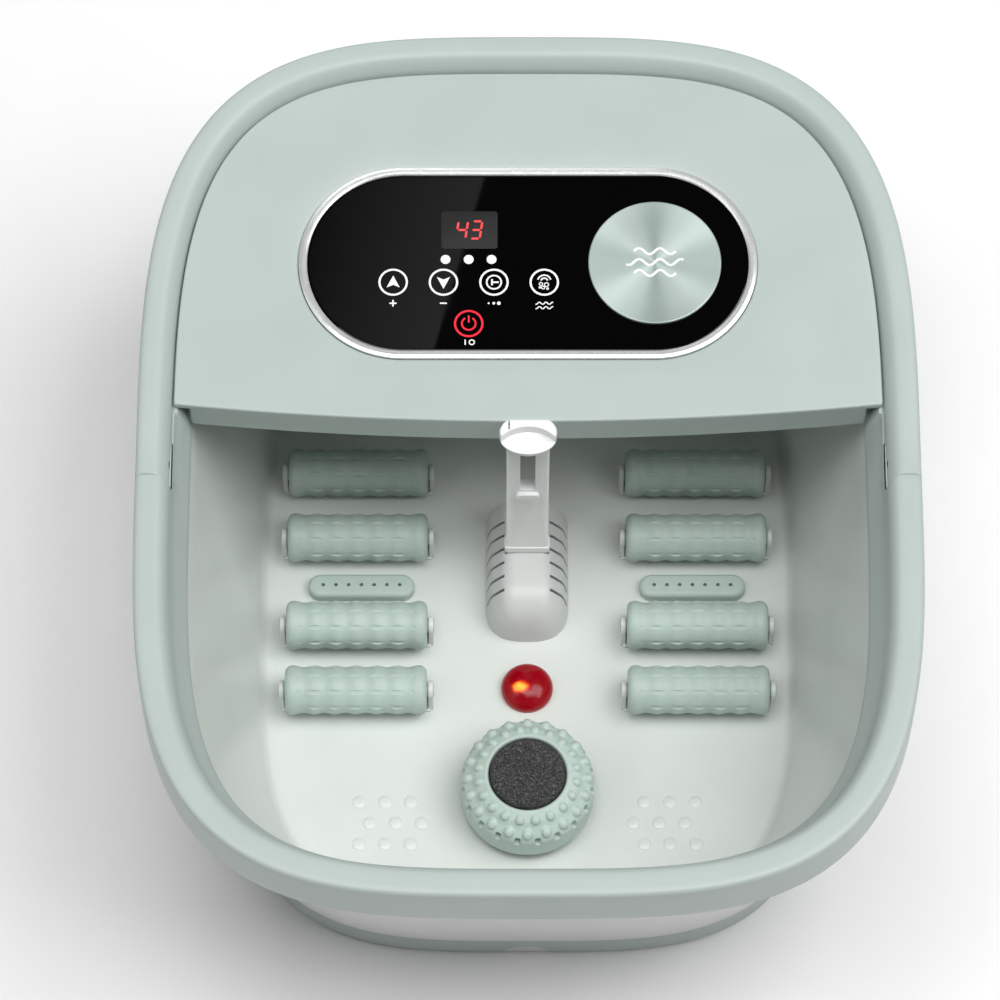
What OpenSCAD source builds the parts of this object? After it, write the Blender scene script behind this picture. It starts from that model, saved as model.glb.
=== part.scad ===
// Heated pedicure foot bath: tub with roller massage floor, bubble bars, pumice head,
// lift-up drain stopper, inclined control console and a swinging carry handle.
// Millimetres. +Z up, +Y to the rear, origin on the ground under the middle of the object.

/* [Body] */
// Width over the rim
rim_w = 351; // [330:1:370]
// Length over the rim, front to rear
rim_l = 419.4; // [400:0.2:440]
// Height of the front rim above the ground
rim_z = 195; // [195:1:215]
// Exponent of the rounded-square outline
corner_n = 3.5; // [2.8:0.1:4.5]
// Upward slope of the console and the rear rim, in degrees
tilt = 4.5; // [3:0.5:6]
// Height of the tub floor above the ground
floor_z = 42; // [42:0.5:44]
// Wall thickness of the tub and the outer shell
wall = 2.5; // [2:0.1:3]

/* [Handle] */
// Height of the handle pivot below the front rim
pivot_drop = 7.8; // [7:0.1:8.5]
// Radius of the round ends of the handle
handle_end_r = 10.9; // [10.5:0.1:11.2]
// Radius of the handle pins
pin_r = 2; // [1.8:0.1:2.2]

/* [Massage floor] */
// Radius of a massage roller
roller_r = 11.5; // [10.5:0.1:12]
// Length of a massage roller
roller_l = 66; // [60:1:68]
// Radius of the nub ring around the pumice
nub_ring_r = 30.8; // [29:0.1:32]
// Radius of the pumice stone
stone_r = 17.8; // [16:0.1:18.5]

/* [Panel] */
// Half length of the glass panel
panel_half = 100.2; // [96:0.2:102]
// Half height of the glass panel, and the radius of its round ends
panel_r = 43.4; // [41:0.1:44]
// Width of the chrome bezel
bezel_w = 4; // [3:0.1:4.5]
// Radius of the metal disc
disc_r = 30.2; // [26:0.1:31]

/* [Hidden] */
$fn = 48;

mint = "#c2d0ca";
mint_dark = "#8fa79f";
white = "#e4e6e4";
black = "#101112";
steel = "#c9cccc";
chrome = "#e8eaea";
rubber = "#2b2d2e";
board = "#1d5c3a";
red = "#c01018";

half_w = rim_w / 2;
seam_y = -7;
rear_d = rim_l / 2 - seam_y;
front_d = rim_l / 2 + seam_y;
ring_steps = 64;
tiny = 0.01;

// Levels of the body, from the ground up
pan_z = 2;
pan_top_z = 18;
skirt_z = 169;
flange_z = 173;
shell_top_z = 173.5;
seal_t = 0.8;

// Outlines of the body: [half width, front depth, rear depth]
pan_low = [136.5, 151.4, 168.5];
pan_mid = [138.6, 153.4, 170.5];
pan_top = [139.6, 154.1, 171.5];
shell_mid = [154, 172.5, 190];
shell_mid_z = 90;
floor_low = [118, 147, 151];
floor_mid = [122.5, 151.8, 155.6];
floor_high = [125, 154.5, 158.6];
floor_wall = [126.4, 156.2, 160.6];
shell_in = 3.2;
tub_in = 20.4;
skirt_in = 21.8;

// Handle pivot
pivot_y = 0.6;
pivot_z = rim_z - pivot_drop;
handle_in = 15.6;
pocket_r = handle_end_r + 0.5;
lug_in = 7;
lug_w = 4;
lug_r = 4.2;

// Console: heights are measured square to the inclined plane, down from the handle's top
cover_h = -6;
plate_t = 3;
lip_h = 18.5;
cover_in = 16.1;
box_in = 23;
lip_y = 20.9;
lip_bow = 8;
lip_half = 157;
tray_t = 2;

// Panel, in the inclined frame of the console
panel_s = 105.5;
panel_t = 2;
key_xs = [-61.1, -38.3, -15.4, 7.4];
key_s = 95.7;
power_key = [-26.8, 75.3];
led_xs = [-37.4, -26.9, -16.5];
led_s = 107;
display_pos = [-26.6, 121.7];
display_size = [25.8, 18.8];
disc_pos = [57.6, 105.3];
board_h = -17;
board_t = 1.6;

// Tub floor
roller_x = 79.7;
roller_ys = [62.2, 28.2, -17.3, -50.4];
roller_z = floor_z + 13;
stub_r = 3.5;
stub_l = 3.2;
bracket_w = 9;
bracket_t = 2.2;
bracket_x = 34.7;
bar_y = 7;
bar_x = 78;
stopper_y = 17.4;
lens_y = -44.4;
pumice_y = -100;
ridge_z = floor_z + 26;
duct_z = 9.2;
duct_r = 4.4;
gland_pos = [-60, 166, 32];
ridge_half = 19.5;
ridge_rear_y = 41;
nose_y = -21;
nose_r = 12;
rod_half = 9.75;
rod_t = 5.8;
rod_bottom_z = floor_z + 5.5;
rod_top_z = rim_z - 13;

// Places of the parts inside the base
foot_spots = [[100, -110, 0], [-100, -110, 0], [100, 115, 0], [-100, 115, 0]];
screw_spots = [
    [118, -60, 0], [-118, -60, 0], [118, 60, 0], [-118, 60, 0], [60, -138, 0], [-60, -138, 0]
];
console_screw_spots = [
    [-120, 48, 0], [120, 48, 0], [-125, 130, 0], [125, 130, 0], [-60, 175, 0], [60, 175, 0]
];
board_pos = [-108, 72, 10];
board_size = [76, 56];
pump_pos = [36, 62, 9.5];
tube_r = 2.9;
harness_x = -41;
harness_y = 197.9;
harness_z = 193.2;
harness_r = 2;
wire_r = 1.6;

// ---------- outline and loft helpers ----------

function signed_pow(v, p) = sign(v) * pow(abs(v), p);

// Point of a rounded-square outline at parameter t, with an inset along its normal
function oval_point(t, a, f, r, inset) =
    let (
        depth = sin(t) < 0 ? f : r,
        x = a * signed_pow(cos(t), 2 / corner_n),
        y = depth * signed_pow(sin(t), 2 / corner_n),
        nx = signed_pow(x / a, corner_n - 1) / a,
        ny = signed_pow(y / depth, corner_n - 1) / depth,
        n_len = norm([nx, ny])
    )
    [x - inset * nx / n_len, seam_y + y - inset * ny / n_len];

function rim_point(t, inset) = oval_point(t, half_w, front_d, rear_d, inset);

// Parameter at which the rim outline reaches a given y behind or in front of the seam
function t_at(y) =
    let (depth = y < seam_y ? front_d : rear_d)
    asin(signed_pow((y - seam_y) / depth, corner_n / 2));

// Rise of the inclined top plane over the front rim
function top_rise(y) = max(0, y - seam_y) * tan(tilt);

// One ring of a shell, from its outline, its inset and its height
function level_ring(outline, inset, z) = [
    for (i = [0 : ring_steps - 1])
        let (p = oval_point(i * 360 / ring_steps, outline[0], outline[1], outline[2], inset))
        [p.x, p.y, z]
];

function rim_ring(inset, z) = level_ring([half_w, front_d, rear_d], inset, z);

// Closed surface through a list of rings, either capped at both ends or joined into a loop
module loft(rings, looped = false) {
    n = len(rings[0]);
    m = len(rings);
    strips = looped ? m : m - 1;
    points = [for (ring = rings) each ring];
    sides = [
        for (j = [0 : strips - 1], i = [0 : n - 1])
            let (
                k = (i + 1) % n,
                a = j * n + i,
                b = j * n + k,
                c = ((j + 1) % m) * n + k,
                d = ((j + 1) % m) * n + i
            )
            each [[a, c, b], [a, d, c]]
    ];
    first_cap = [for (i = [0 : n - 1]) i];
    last_cap = [for (i = [0 : n - 1]) m * n - 1 - i];
    polyhedron(points, looped ? sides : concat(sides, [first_cap, last_cap]), convexity = 8);
}

// Rings across the rim, one for each parameter in ts. A profile is for a level top: what is
// above the foot of the skirt rises with the inclined plane.
function rim_sections(ts, profile_at) = [
    for (t = ts)
        let (profile = profile_at(t))
        [
            for (i = [len(profile) - 1 : -1 : 0])
                let (
                    p = profile[i],
                    q = rim_point(t, p[0]),
                    rise = p[1] > skirt_z + 5 ? top_rise(q.y) : 0
                )
                [q.x, q.y, p[1] + rise]
        ]
];

module both_sides() {
    children();
    mirror([1, 0, 0]) children();
}

module at_points(points) {
    for (p = points) translate(p) children();
}

// Tube of ten flat sides along a list of points, mitred at each bend
module bent_rod(points, r) {
    last = len(points) - 1;
    aside = [0.57, 0.2, -0.8];
    loft([
        for (i = [0 : last])
            let (
                before = points[max(i, 1)] - points[max(i, 1) - 1],
                after = points[min(i + 1, last)] - points[min(i + 1, last) - 1],
                along = before / norm(before) + after / norm(after),
                across = cross(along, aside),
                u = across / norm(across),
                v = cross(along, u) / norm(cross(along, u))
            )
            [for (k = [0 : 9]) points[i] + r * (cos(36 * k) * u + sin(36 * k) * v)]
    ]);
}

// ---------- base ----------

module base_pan() color(mint_dark) {
    difference() {
        loft([
            level_ring(pan_low, 0, pan_z),
            level_ring(pan_mid, 0, pan_z + 2),
            level_ring(pan_top, 0, pan_top_z),
            level_ring(pan_top, wall, pan_top_z),
            level_ring(pan_mid, wall + 0.3, pan_z + 4.5),
            level_ring(pan_low, wall + 1, pan_z + wall)
        ]);
        at_points(foot_spots) cylinder(r = 4.1, h = 10);
        at_points(screw_spots) {
            cylinder(r = 1.7, h = 10);
            cylinder(r = 3.2, h = pan_z + 1.2);
        }
        translate([0, -132.1, -0.2]) rotate([90, 0, 0]) cylinder(r = 11.7, h = 40);
        for (i = [0 : 7]) translate([pump_pos.x + 8 + i * 6, pump_pos.y + 5, 0]) cube([2.4, 34, 10]);
    }
}

module rubber_feet() color(rubber) {
    at_points(foot_spots) rotate_extrude()
        polygon([
            [0, 0], [9, 0], [10, 1], [10, pan_z], [4, pan_z], [4, pan_z + wall + 0.3],
            [4.8, pan_z + wall + 0.6], [3, pan_z + wall + 2.4], [0, pan_z + wall + 2.4]
        ]);
}

module base_screws() color(steel) {
    at_points(screw_spots) rotate_extrude()
        polygon([
            [0, pan_z - 0.4], [3, pan_z - 0.4], [3, pan_z + 1.2], [1.5, pan_z + 1.2], [1.5, 20], [0, 21.5]
        ]);
}

module outer_shell() color(white) {
    difference() {
        union() {
            loft([
                level_ring(pan_top, 0, pan_top_z),
                level_ring(shell_mid, 0, shell_mid_z),
                rim_ring(shell_in, skirt_z - 3),
                rim_ring(shell_in, shell_top_z),
                rim_ring(shell_in + wall, shell_top_z),
                rim_ring(shell_in + wall, skirt_z + 1.4),
                rim_ring(9, skirt_z + 1.4),
                rim_ring(9, skirt_z - 0.6),
                rim_ring(shell_in + wall, skirt_z - 4),
                level_ring(shell_mid, wall, shell_mid_z),
                level_ring(pan_top, wall, pan_top_z)
            ], looped = true);
            at_points(screw_spots) translate([0, 0, pan_z + wall]) cylinder(r = 4.4, h = 34);
            for (side = [-1, 1], y = [-60, 60])
                translate([side * 128 - 9.5, y - 1.2, pan_top_z + 0.5]) cube([19, 2.4, 18]);
            for (side = [-1, 1])
                translate([side * 60 - 1.2, -157, pan_top_z + 0.5]) cube([2.4, 19, 18]);
        }
        at_points(screw_spots) cylinder(r = 1.55, h = 24);
        translate([gland_pos.x, 150, gland_pos.z]) rotate([-90, 0, 0]) cylinder(r = 7, h = 40);
    }
}

module cord_gland() color(rubber) {
    translate(gland_pos) rotate([-90, 0, 0]) rotate_extrude()
        polygon([
            [3.6, -11], [9, -11], [9, -7], [6.8, -6.8], [6.8, 2], [9, 2.2], [9, 4.6],
            [6.4, 6], [5.6, 24], [3.6, 24]
        ]);
}

// ---------- tub and rim ----------

module basin() color(white) {
    difference() {
        loft([
            level_ring(floor_low, -wall / 2, floor_z - wall),
            level_ring(floor_mid, -wall, floor_z),
            level_ring(floor_high, -wall, floor_z + 5),
            level_ring(floor_wall, -wall, floor_z + 12),
            rim_ring(tub_in - wall, flange_z - wall),
            rim_ring(6.2, flange_z - wall),
            rim_ring(6.2, flange_z),
            rim_ring(tub_in - 1.2, flange_z),
            rim_ring(tub_in, flange_z - 1.5),
            level_ring(floor_wall, 0, floor_z + 12),
            level_ring(floor_high, 0, floor_z + 6),
            level_ring(floor_mid, 0, floor_z + 1.8),
            level_ring(floor_low, 0, floor_z)
        ]);
        translate([0, stopper_y, 0]) cylinder(r = 10, h = floor_z + 5);
        translate([0, lens_y, 0]) cylinder(r = 8, h = floor_z + 5);
        translate([12, -6, 0]) cylinder(r = 2.6, h = floor_z + 5);
        both_sides() translate([bar_x, bar_y, 0]) cylinder(r = tube_r + 0.2, h = floor_z + 5);
        translate([harness_x, harness_y, flange_z - 10]) cylinder(r = harness_r + 0.3, h = 20);
    }
}

// Section of the front rim: [inset, z]
front_section = [
    [0, skirt_z], [0, rim_z - 2.4], [0.55, rim_z - 0.95], [2, rim_z - 0.2], [5, rim_z],
    [10.4, rim_z - 0.3], [13, rim_z - 2], [14.9, rim_z - 5], [16, rim_z - 8.8], [17.4, rim_z - 13.5],
    [skirt_in + 1.4, skirt_z], [skirt_in, skirt_z], [15.6, rim_z - 13], [13.6, rim_z - 6.4],
    [10.8, rim_z - 3], [3.4, rim_z - 3],
    [2.4, rim_z - 5.2], [2.4, skirt_z]
];

// Section of the rear ledge that the handle lies on
rear_section = [
    [0, skirt_z], [0, rim_z - 13.9], [0.5, rim_z - 13.6], [3.2, rim_z - 13.6], [7, rim_z - 12.4],
    [10.6, rim_z - 10.9], [13.2, rim_z - 10], [15.9, rim_z - 9.7], [16.2, rim_z - 9.4],
    [17.6, rim_z - 9.4], [skirt_in + 1.4, skirt_z], [skirt_in, skirt_z], [16, rim_z - 12],
    [13.6, rim_z - 12.4], [11, rim_z - 13], [4.5, rim_z - 15.8], [2.4, rim_z - 16], [2.4, skirt_z]
];

// In front of the console the ledge has no step for the cover to lie on
function lowered(section) = [
    for (i = [0 : len(section) - 1])
        i == 8 ? [16.2, rim_z - 10]
        : i == 9 ? [17.3, rim_z - 13.5]
        : i == 12 ? [15.4, rim_z - 12.8]
        : section[i]
];

// The hidden side is filled in next to the handle pivots, down to the seal
fill_z = skirt_z + 4.9;
function filled(section) = [
    for (i = [0 : len(section) - 1])
        i < 12 ? section[i]
        : i == 12 ? [20, fill_z]
        : [section[i][0], i == len(section) - 1 ? skirt_z + 2 : fill_z]
];

block_front_y = -19;
block_rear_y = 16;
step_y = 25;

function rim_section_at(t) =
    let (y = rim_point(t, 0).y)
    y < block_front_y - tiny ? front_section
    : y < seam_y ? filled(front_section)
    : y < block_rear_y + tiny ? filled(lowered(rear_section))
    : y < step_y + tiny ? lowered(rear_section)
    : rear_section;

step_t = 360 / ring_steps;
rim_ts = concat(
    [t_at(seam_y + 0.05), t_at(block_rear_y), t_at(block_rear_y + 2), t_at(step_y), t_at(step_y + 1.5)],
    [for (t = [step_t : step_t : 180 - step_t / 2]) t],
    [180 - t_at(step_y + 1.5), 180 - t_at(step_y)],
    [180 - t_at(block_rear_y + 2), 180 - t_at(block_rear_y), 180 - t_at(seam_y + 0.05)],
    [180 - t_at(seam_y - 0.05), 180 - t_at(block_front_y), 180 - t_at(block_front_y - 2)],
    [for (t = [180 + step_t : step_t : 360 - step_t / 2]) t],
    [360 + t_at(block_front_y - 2), 360 + t_at(block_front_y), 360 + t_at(seam_y - 0.05)]
);

// Way of the wires from the rim into the console
module harness_bore(from_y) {
    translate([harness_x, from_y, harness_z]) rotate([90, 0, 0]) cylinder(r = harness_r + 0.4, h = 19);
}

module pivot_cylinder(r, x0, x1) {
    translate([x0, pivot_y, pivot_z]) rotate([0, 90, 0]) cylinder(r = r, h = x1 - x0);
}

module rim_frame() color(mint) {
    rings = rim_sections(rim_ts, function (t) rim_section_at(t));
    difference() {
        loft(rings, looped = true);
        both_sides() pivot_cylinder(pocket_r, half_w - handle_in - 0.5, half_w + 5);
        harness_bore(harness_y);
    }
    both_sides() difference() {
        union() {
            pivot_cylinder(lug_r, half_w - lug_in - lug_w, half_w - lug_in);
            translate([half_w - lug_in - lug_w, pivot_y - lug_r, pivot_z - pocket_r - 1.5])
                cube([lug_w, 2 * lug_r, pocket_r + 1.5]);
        }
        pivot_cylinder(pin_r + 0.01, half_w - lug_in - lug_w - 1, half_w - lug_in + 1);
    }
}

module rim_seal() color(rubber) {
    loft([
        rim_ring(14, flange_z), rim_ring(14, flange_z + seal_t),
        rim_ring(17, flange_z + seal_t), rim_ring(17, flange_z)
    ], looped = true);
}

// ---------- carry handle ----------

// Section of the handle bar: [inset, z]
handle_section = [
    [0.3, rim_z - 13.1], [0, rim_z - 12.7], [0, rim_z - 2.6], [0.55, rim_z - 1], [2, rim_z - 0.2],
    [5, rim_z], [9.4, rim_z - 0.5], [12.2, rim_z - 2.4], [14.6, rim_z - 5.8], [handle_in, rim_z - 9.2],
    [11.8, rim_z - 9.9], [4, rim_z - 13.1]
];

handle_ts = concat(
    [t_at(pivot_y - 12), t_at(pivot_y), t_at(13)],
    [for (t = [step_t : step_t : 180 - step_t / 2]) t],
    [180 - t_at(13), 180 - t_at(pivot_y), 180 - t_at(pivot_y - 12)]
);

// What a round handle end leaves out: all around it in front, and below the bar behind
module handle_end_cut(x0, x1) {
    difference() {
        translate([x0, pivot_y, pivot_z]) {
            translate([0, -20, -20]) cube([x1 - x0, 20, 40]);
            translate([0, -1, -20]) cube([x1 - x0, 21, 15.2]);
        }
        pivot_cylinder(handle_end_r, x0 - 1, x1 + 1);
    }
}

module carry_handle() color(mint) {
    inner_x = half_w - handle_in;
    difference() {
        union() {
            loft(rim_sections(handle_ts, function (t) handle_section));
            both_sides() translate([inner_x + 0.1, pivot_y - 12, pivot_z - 12])
                cube([handle_in - 0.15, 21.7, 12.5]);
        }
        both_sides() handle_end_cut(inner_x - 5, half_w + 5);
        both_sides() translate([half_w - lug_in - lug_w - 0.4, pivot_y - 20, pivot_z - 20])
            cube([lug_w + 0.8, 20 + lug_r + 0.6, 20 + lug_r + 0.5]);
        both_sides() pivot_cylinder(pin_r + 0.06, half_w - 15, half_w - 2);
    }
}

module handle_pins() color(steel) {
    both_sides() pivot_cylinder(pin_r, half_w - 14.6, half_w - 2.4);
}

// ---------- console ----------

module on_console(h) {
    translate([0, seam_y, rim_z]) rotate([tilt, 0, 0]) translate([0, 0, h]) children();
}

module console_slab(h0, h1) {
    on_console(h0) translate([-rim_w / 2, 0, 0]) cube([rim_w, rim_l, h1 - h0]);
}

// Plan of the console, with the bowed front lip set back by an amount
function console_plan(inset, back) =
    let (
        start_t = t_at(lip_y + lip_bow + back),
        end_x = rim_point(start_t, inset).x
    )
    concat(
        [rim_point(start_t, inset)],
        [
            for (t = [ceil(start_t / step_t) * step_t + step_t : step_t : 180 - start_t])
                rim_point(t, inset)
        ],
        [rim_point(180 - start_t, inset)],
        [
            for (i = [1 : 15])
                let (x = end_x * (i / 8 - 1))
                [x, lip_y + back + lip_bow * pow(x / lip_half, 2)]
        ]
    );

module console_layer(inset, back, h0, h1) {
    intersection() {
        linear_extrude(height = 260) polygon(console_plan(inset, back));
        console_slab(h0, h1);
    }
}

module stadium(half_length, r, height) {
    straight = half_length - r;
    linear_extrude(height = height) {
        square([2 * straight, 2 * r], center = true);
        translate([straight, 0]) circle(r = r);
        translate([-straight, 0]) circle(r = r);
    }
}

module console_cover() color(mint) {
    bottom_h = cover_h - lip_h;
    under_h = cover_h - plate_t;
    difference() {
        union() {
            console_layer(cover_in, 0, under_h, cover_h);
            difference() {
                console_layer(box_in, 0, bottom_h, under_h + tiny);
                console_layer(box_in + wall, wall, bottom_h - 1, under_h);
            }
            on_console(bottom_h + tray_t) at_points(console_screw_spots)
                cylinder(r = 3.6, h = lip_h - tray_t - plate_t + 0.5);
        }
        on_console(cover_h - panel_t - 0.2) translate([0, panel_s, 0])
            stadium(panel_half + bezel_w + 0.1, panel_r + bezel_w + 0.1, 5);
        on_console(under_h - 1) {
            translate([display_pos.x - 13.4, display_pos.y - 9.8, 0]) cube([26.8, 19.6, 5]);
            at_points([for (x = key_xs) [x, key_s, 0]]) cylinder(r = 5, h = 5);
            translate([power_key.x, power_key.y, 0]) cylinder(r = 5, h = 5);
            at_points([for (x = led_xs) [x, led_s, 0]]) cylinder(r = 2.6, h = 5);
        }
        on_console(bottom_h - 1) at_points(console_screw_spots) cylinder(r = 1.25, h = 11);
        harness_bore(harness_y - 9);
    }
}

module console_tray() color(white) {
    bottom_h = cover_h - lip_h;
    difference() {
        console_layer(box_in + wall + 0.2, wall + 0.2, bottom_h, bottom_h + tray_t);
        on_console(bottom_h - 1) at_points(console_screw_spots) cylinder(r = 1.6, h = 5);
    }
}

module console_screws() color(steel) {
    on_console(cover_h - lip_h) at_points(console_screw_spots) rotate_extrude()
        polygon([[0, -1.6], [2.8, -1.6], [2.8, 0], [1.2, 0], [1.2, 8.6], [0, 9.6]]);
}

module panel_bezel() color(chrome) {
    on_console(cover_h - panel_t - 0.2) translate([0, panel_s, 0]) difference() {
        stadium(panel_half + bezel_w, panel_r + bezel_w, panel_t + 0.7);
        translate([0, 0, -1]) stadium(panel_half + 0.1, panel_r + 0.1, panel_t + 4);
    }
}

module control_panel() color(black) {
    on_console(cover_h - panel_t - 0.2) difference() {
        translate([0, panel_s, 0]) stadium(panel_half, panel_r, panel_t);
        translate([display_pos.x - display_size.x / 2, display_pos.y - display_size.y / 2, panel_t - 0.6])
            cube([display_size.x, display_size.y, 2]);
        translate([0, 0, -1]) at_points([for (x = led_xs) [x, led_s, 0]]) cylinder(r = 2.35, h = 5);
    }
}

module display_window() color([0.25, 0.25, 0.26]) {
    on_console(cover_h - 0.8)
        translate([display_pos.x - display_size.x / 2 + 0.05, display_pos.y - display_size.y / 2 + 0.05, 0])
            cube([display_size.x - 0.1, display_size.y - 0.1, 0.55]);
}

module display_module() color(black) {
    on_console(board_h + board_t)
        translate([display_pos.x - 12.6, display_pos.y - 9, 0]) cube([25.2, 18, 6.9]);
}

module indicator_leds() color("white") {
    on_console(board_h + board_t) at_points([for (x = led_xs) [x, led_s, 0]]) {
        cylinder(r = 2.2, h = cover_h - 0.2 - board_h - board_t);
        cylinder(r = 2.8, h = 1.2);
    }
}

module badge_disc() color(steel) {
    on_console(cover_h - 0.2) translate([disc_pos.x, disc_pos.y, 0]) rotate_extrude()
        polygon([[0, 0], [disc_r, 0], [disc_r, 0.7], [disc_r - 0.4, 1.1], [0, 1.1]]);
}

module touch_springs() color(steel) {
    spots = concat([for (x = key_xs) [x, key_s, 0]], [[power_key.x, power_key.y, 0]]);
    on_console(board_h + board_t) at_points(spots) {
        rotate_extrude($fn = 24)
            polygon(concat(
                [for (i = [0 : 12]) [i % 2 == 0 ? 3 : 3.8, i * 0.56]],
                [for (i = [12 : -1 : 0]) [i % 2 == 0 ? 2.2 : 3, i * 0.56]]
            ));
    }
}

module control_pcb() color(board) {
    on_console(board_h) difference() {
        union() {
            translate([-76, 64, 0]) cube([96, 76, board_t]);
            translate([-10, 120, board_t]) cube([12, 12, 1.4]);
            translate([4, 112, board_t]) cube([8, 16, 4]);
            translate([-70, 112, board_t]) cube([14, 8, 3]);
        }
        at_points([[-72, 68, -1], [16, 68, -1], [-72, 136, -1], [16, 136, -1]]) cylinder(r = 1.6, h = 5);
    }
}

// ---------- parts inside the base ----------

module power_pcb() color(board) {
    posts = [[4, 4], [board_size.x - 4, 4], [4, board_size.y - 4], [board_size.x - 4, board_size.y - 4]];
    translate(board_pos) {
        difference() {
            union() {
                cube([board_size.x, board_size.y, board_t]);
                translate([6, 20, board_t]) cube([26, 24, 17]);
                translate([38, 28, board_t]) cube([14, 18, 13]);
                translate([42, 10, board_t]) cylinder(r = 6, h = 16);
                translate([60, 8, board_t]) cube([10, 32, 8]);
            }
            at_points([for (p = posts) [p.x, p.y, -1]]) cylinder(r = 1.6, h = 5);
        }
        at_points([for (p = posts) [p.x, p.y, pan_z + wall - board_pos.z]]) {
            cylinder(r = 1.55, h = board_pos.z - pan_z - wall + board_t);
            cylinder(r = 3, h = board_pos.z - pan_z - wall);
        }
    }
}

// The thick harness climbs between the tub and the shell and enters the console from the rim
module wire_harness() color(rubber) {
    bent_rod([
        [harness_x, 112.3, 16], [harness_x, 134, 18], [harness_x, 157, 46], [harness_x, 178.5, 110],
        [harness_x, harness_y, 158], [harness_x, harness_y, harness_z], [harness_x, 176, harness_z],
        [harness_x, 136, 191]
    ], harness_r);
    bent_rod([[-38, 100, 19.9], [-38, 100, 24], [-30, 60, 24], [-30, 4, 29]], wire_r);
    bent_rod([[-41, 92, 19.9], [-41, 92, 29], [pump_pos.x - 0.3, 80, 29]], wire_r);
    bent_rod([[-44, 84, 19.9], [-44, 84, 24], [-50, 60, 24], [-50, -20, 24], [-8, -40, 28]], wire_r);
}

module heater_block() color(steel) {
    difference() {
        translate([-36, -30, 31.5]) cube([72, 32, 8]);
        translate([12, -6, 30]) cylinder(r = 2.6, h = 12);
        for (i = [0 : 6]) translate([-33 + i * 10, -32, 30]) cube([3, 36, 5]);
    }
}

module thermal_cutout() color(black) {
    translate([-18, -14, 24.5]) cylinder(r = 8, h = 7);
    translate([-18, -14, 21.5]) cylinder(r = 3, h = 3);
}

module temperature_probe() color(steel) {
    translate([12, -6, 28]) {
        cylinder(r = 2.5, h = floor_z - 28 + 8);
        translate([0, 0, floor_z - 28 + 8]) sphere(r = 2.5);
    }
}

module air_pump() color(white) {
    translate(pump_pos) {
        cube([66, 44, 24]);
        translate([66, 22, 11.5]) rotate([0, 90, 0]) cylinder(r = 9, h = 8);
        translate([-4, 20, 11.5]) rotate([0, 90, 0]) cylinder(r = 2.2, h = 4);
    }
}

module pump_mounts() color(rubber) {
    translate([pump_pos.x, pump_pos.y, pan_z + wall])
        at_points([[6, 6, 0], [60, 6, 0], [6, 38, 0], [60, 38, 0]]) rotate_extrude()
            polygon([[0, 0], [5, 0], [4, 2.5], [5, 5], [0, 5]]);
}

module air_tubes() color([0.8, 0.85, 0.85, 0.7]) {
    tee = [16, 56, 18];
    bent_rod([
        [28, 82, 21], [16, 82, 21], tee, [60, 40, 18], [bar_x, bar_y, 24], [bar_x, bar_y, floor_z]
    ], tube_r);
    bent_rod([
        tee, [-24, 54, 14], [-62, 36, 18], [-bar_x, bar_y, 24], [-bar_x, bar_y, floor_z]
    ], tube_r);
}

module check_valve() color(mint) {
    translate([28, 82, 21]) rotate([0, 90, 0]) rotate_extrude()
        polygon([[0, 0], [3.2, 0], [5, 1], [5, 3], [2.4, 4], [0, 4]]);
}

// ---------- tub floor ----------

module bubble_bar() {
    difference() {
        union() {
            translate([-19, -6, 0]) cube([38, 12, 6]);
            translate([-19, 0, 0]) cylinder(r = 6, h = 6);
            translate([19, 0, 0]) cylinder(r = 6, h = 6);
        }
        translate([-17, -3.6, -1]) cube([34, 7.2, 5]);
        for (i = [-3 : 3]) translate([i * 6, 0, 3]) cylinder(r = 0.8, h = 5);
    }
}

module bubble_bar_left() color(mint) translate([-bar_x, bar_y, floor_z]) bubble_bar();
module bubble_bar_right() color(mint) translate([bar_x, bar_y, floor_z]) bubble_bar();

// Vented cover over the heater and the drain, with a sloped and rounded nose to the front
module ridge_plan(shrink) {
    hull() {
        for (side = [-1, 1])
            translate([side * (ridge_half - nose_r), nose_y + nose_r]) circle(r = nose_r - shrink);
        translate([-ridge_half + shrink, 0]) square([2 * (ridge_half - shrink), ridge_rear_y - shrink]);
    }
}

module ridge_solid(shrink) {
    intersection() {
        translate([0, 0, floor_z - 1]) linear_extrude(height = 40) ridge_plan(shrink);
        translate([0, ridge_rear_y + 1, floor_z - tiny]) rotate([90, 0, 0])
            linear_extrude(height = ridge_rear_y - nose_y + 2)
                polygon([
                    [-ridge_half + shrink, -1], [-ridge_half + shrink, 2], [-17 + shrink, 16],
                    [-10 + shrink / 2, 26 - shrink], [10 - shrink / 2, 26 - shrink],
                    [17 - shrink, 16], [ridge_half - shrink, 2], [ridge_half - shrink, -1]
                ]);
        translate([-30, nose_y + shrink, floor_z - 2]) rotate([-28, 0, 0])
            translate([0, 0, -40]) cube([60, 120, 120]);
        translate([-30, -30, floor_z]) cube([60, 90, 40]);
    }
}

module heater_cover() color(white) {
    difference() {
        ridge_solid(0);
        translate([0, 0, -tiny]) ridge_solid(2);
        translate([-10.2, stopper_y - 3.3, floor_z]) cube([20.4, 6.6, 40]);
        for (side = [-1, 1], i = [0 : 5])
            translate([side * 15.5 - 5, -3 + i * 7, floor_z + 6]) cube([10, 1.2, 15]);
    }
}

module red_lens() color(red) {
    translate([0, lens_y, 0]) rotate_extrude()
        polygon([
            [0, floor_z - 3.5], [7.8, floor_z - 3.5], [7.8, floor_z], [12, floor_z], [12, floor_z + 2.5],
            [10.6, floor_z + 5.2], [7.6, floor_z + 7.4], [4, floor_z + 8.6], [0, floor_z + 9]
        ]);
}

module red_led_board() color(board) {
    translate([-12, lens_y - 10, 30]) cube([24, 20, board_t]);
    translate([-3, lens_y - 3, 30 + board_t]) cube([6, 6, 2]);
}

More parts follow.
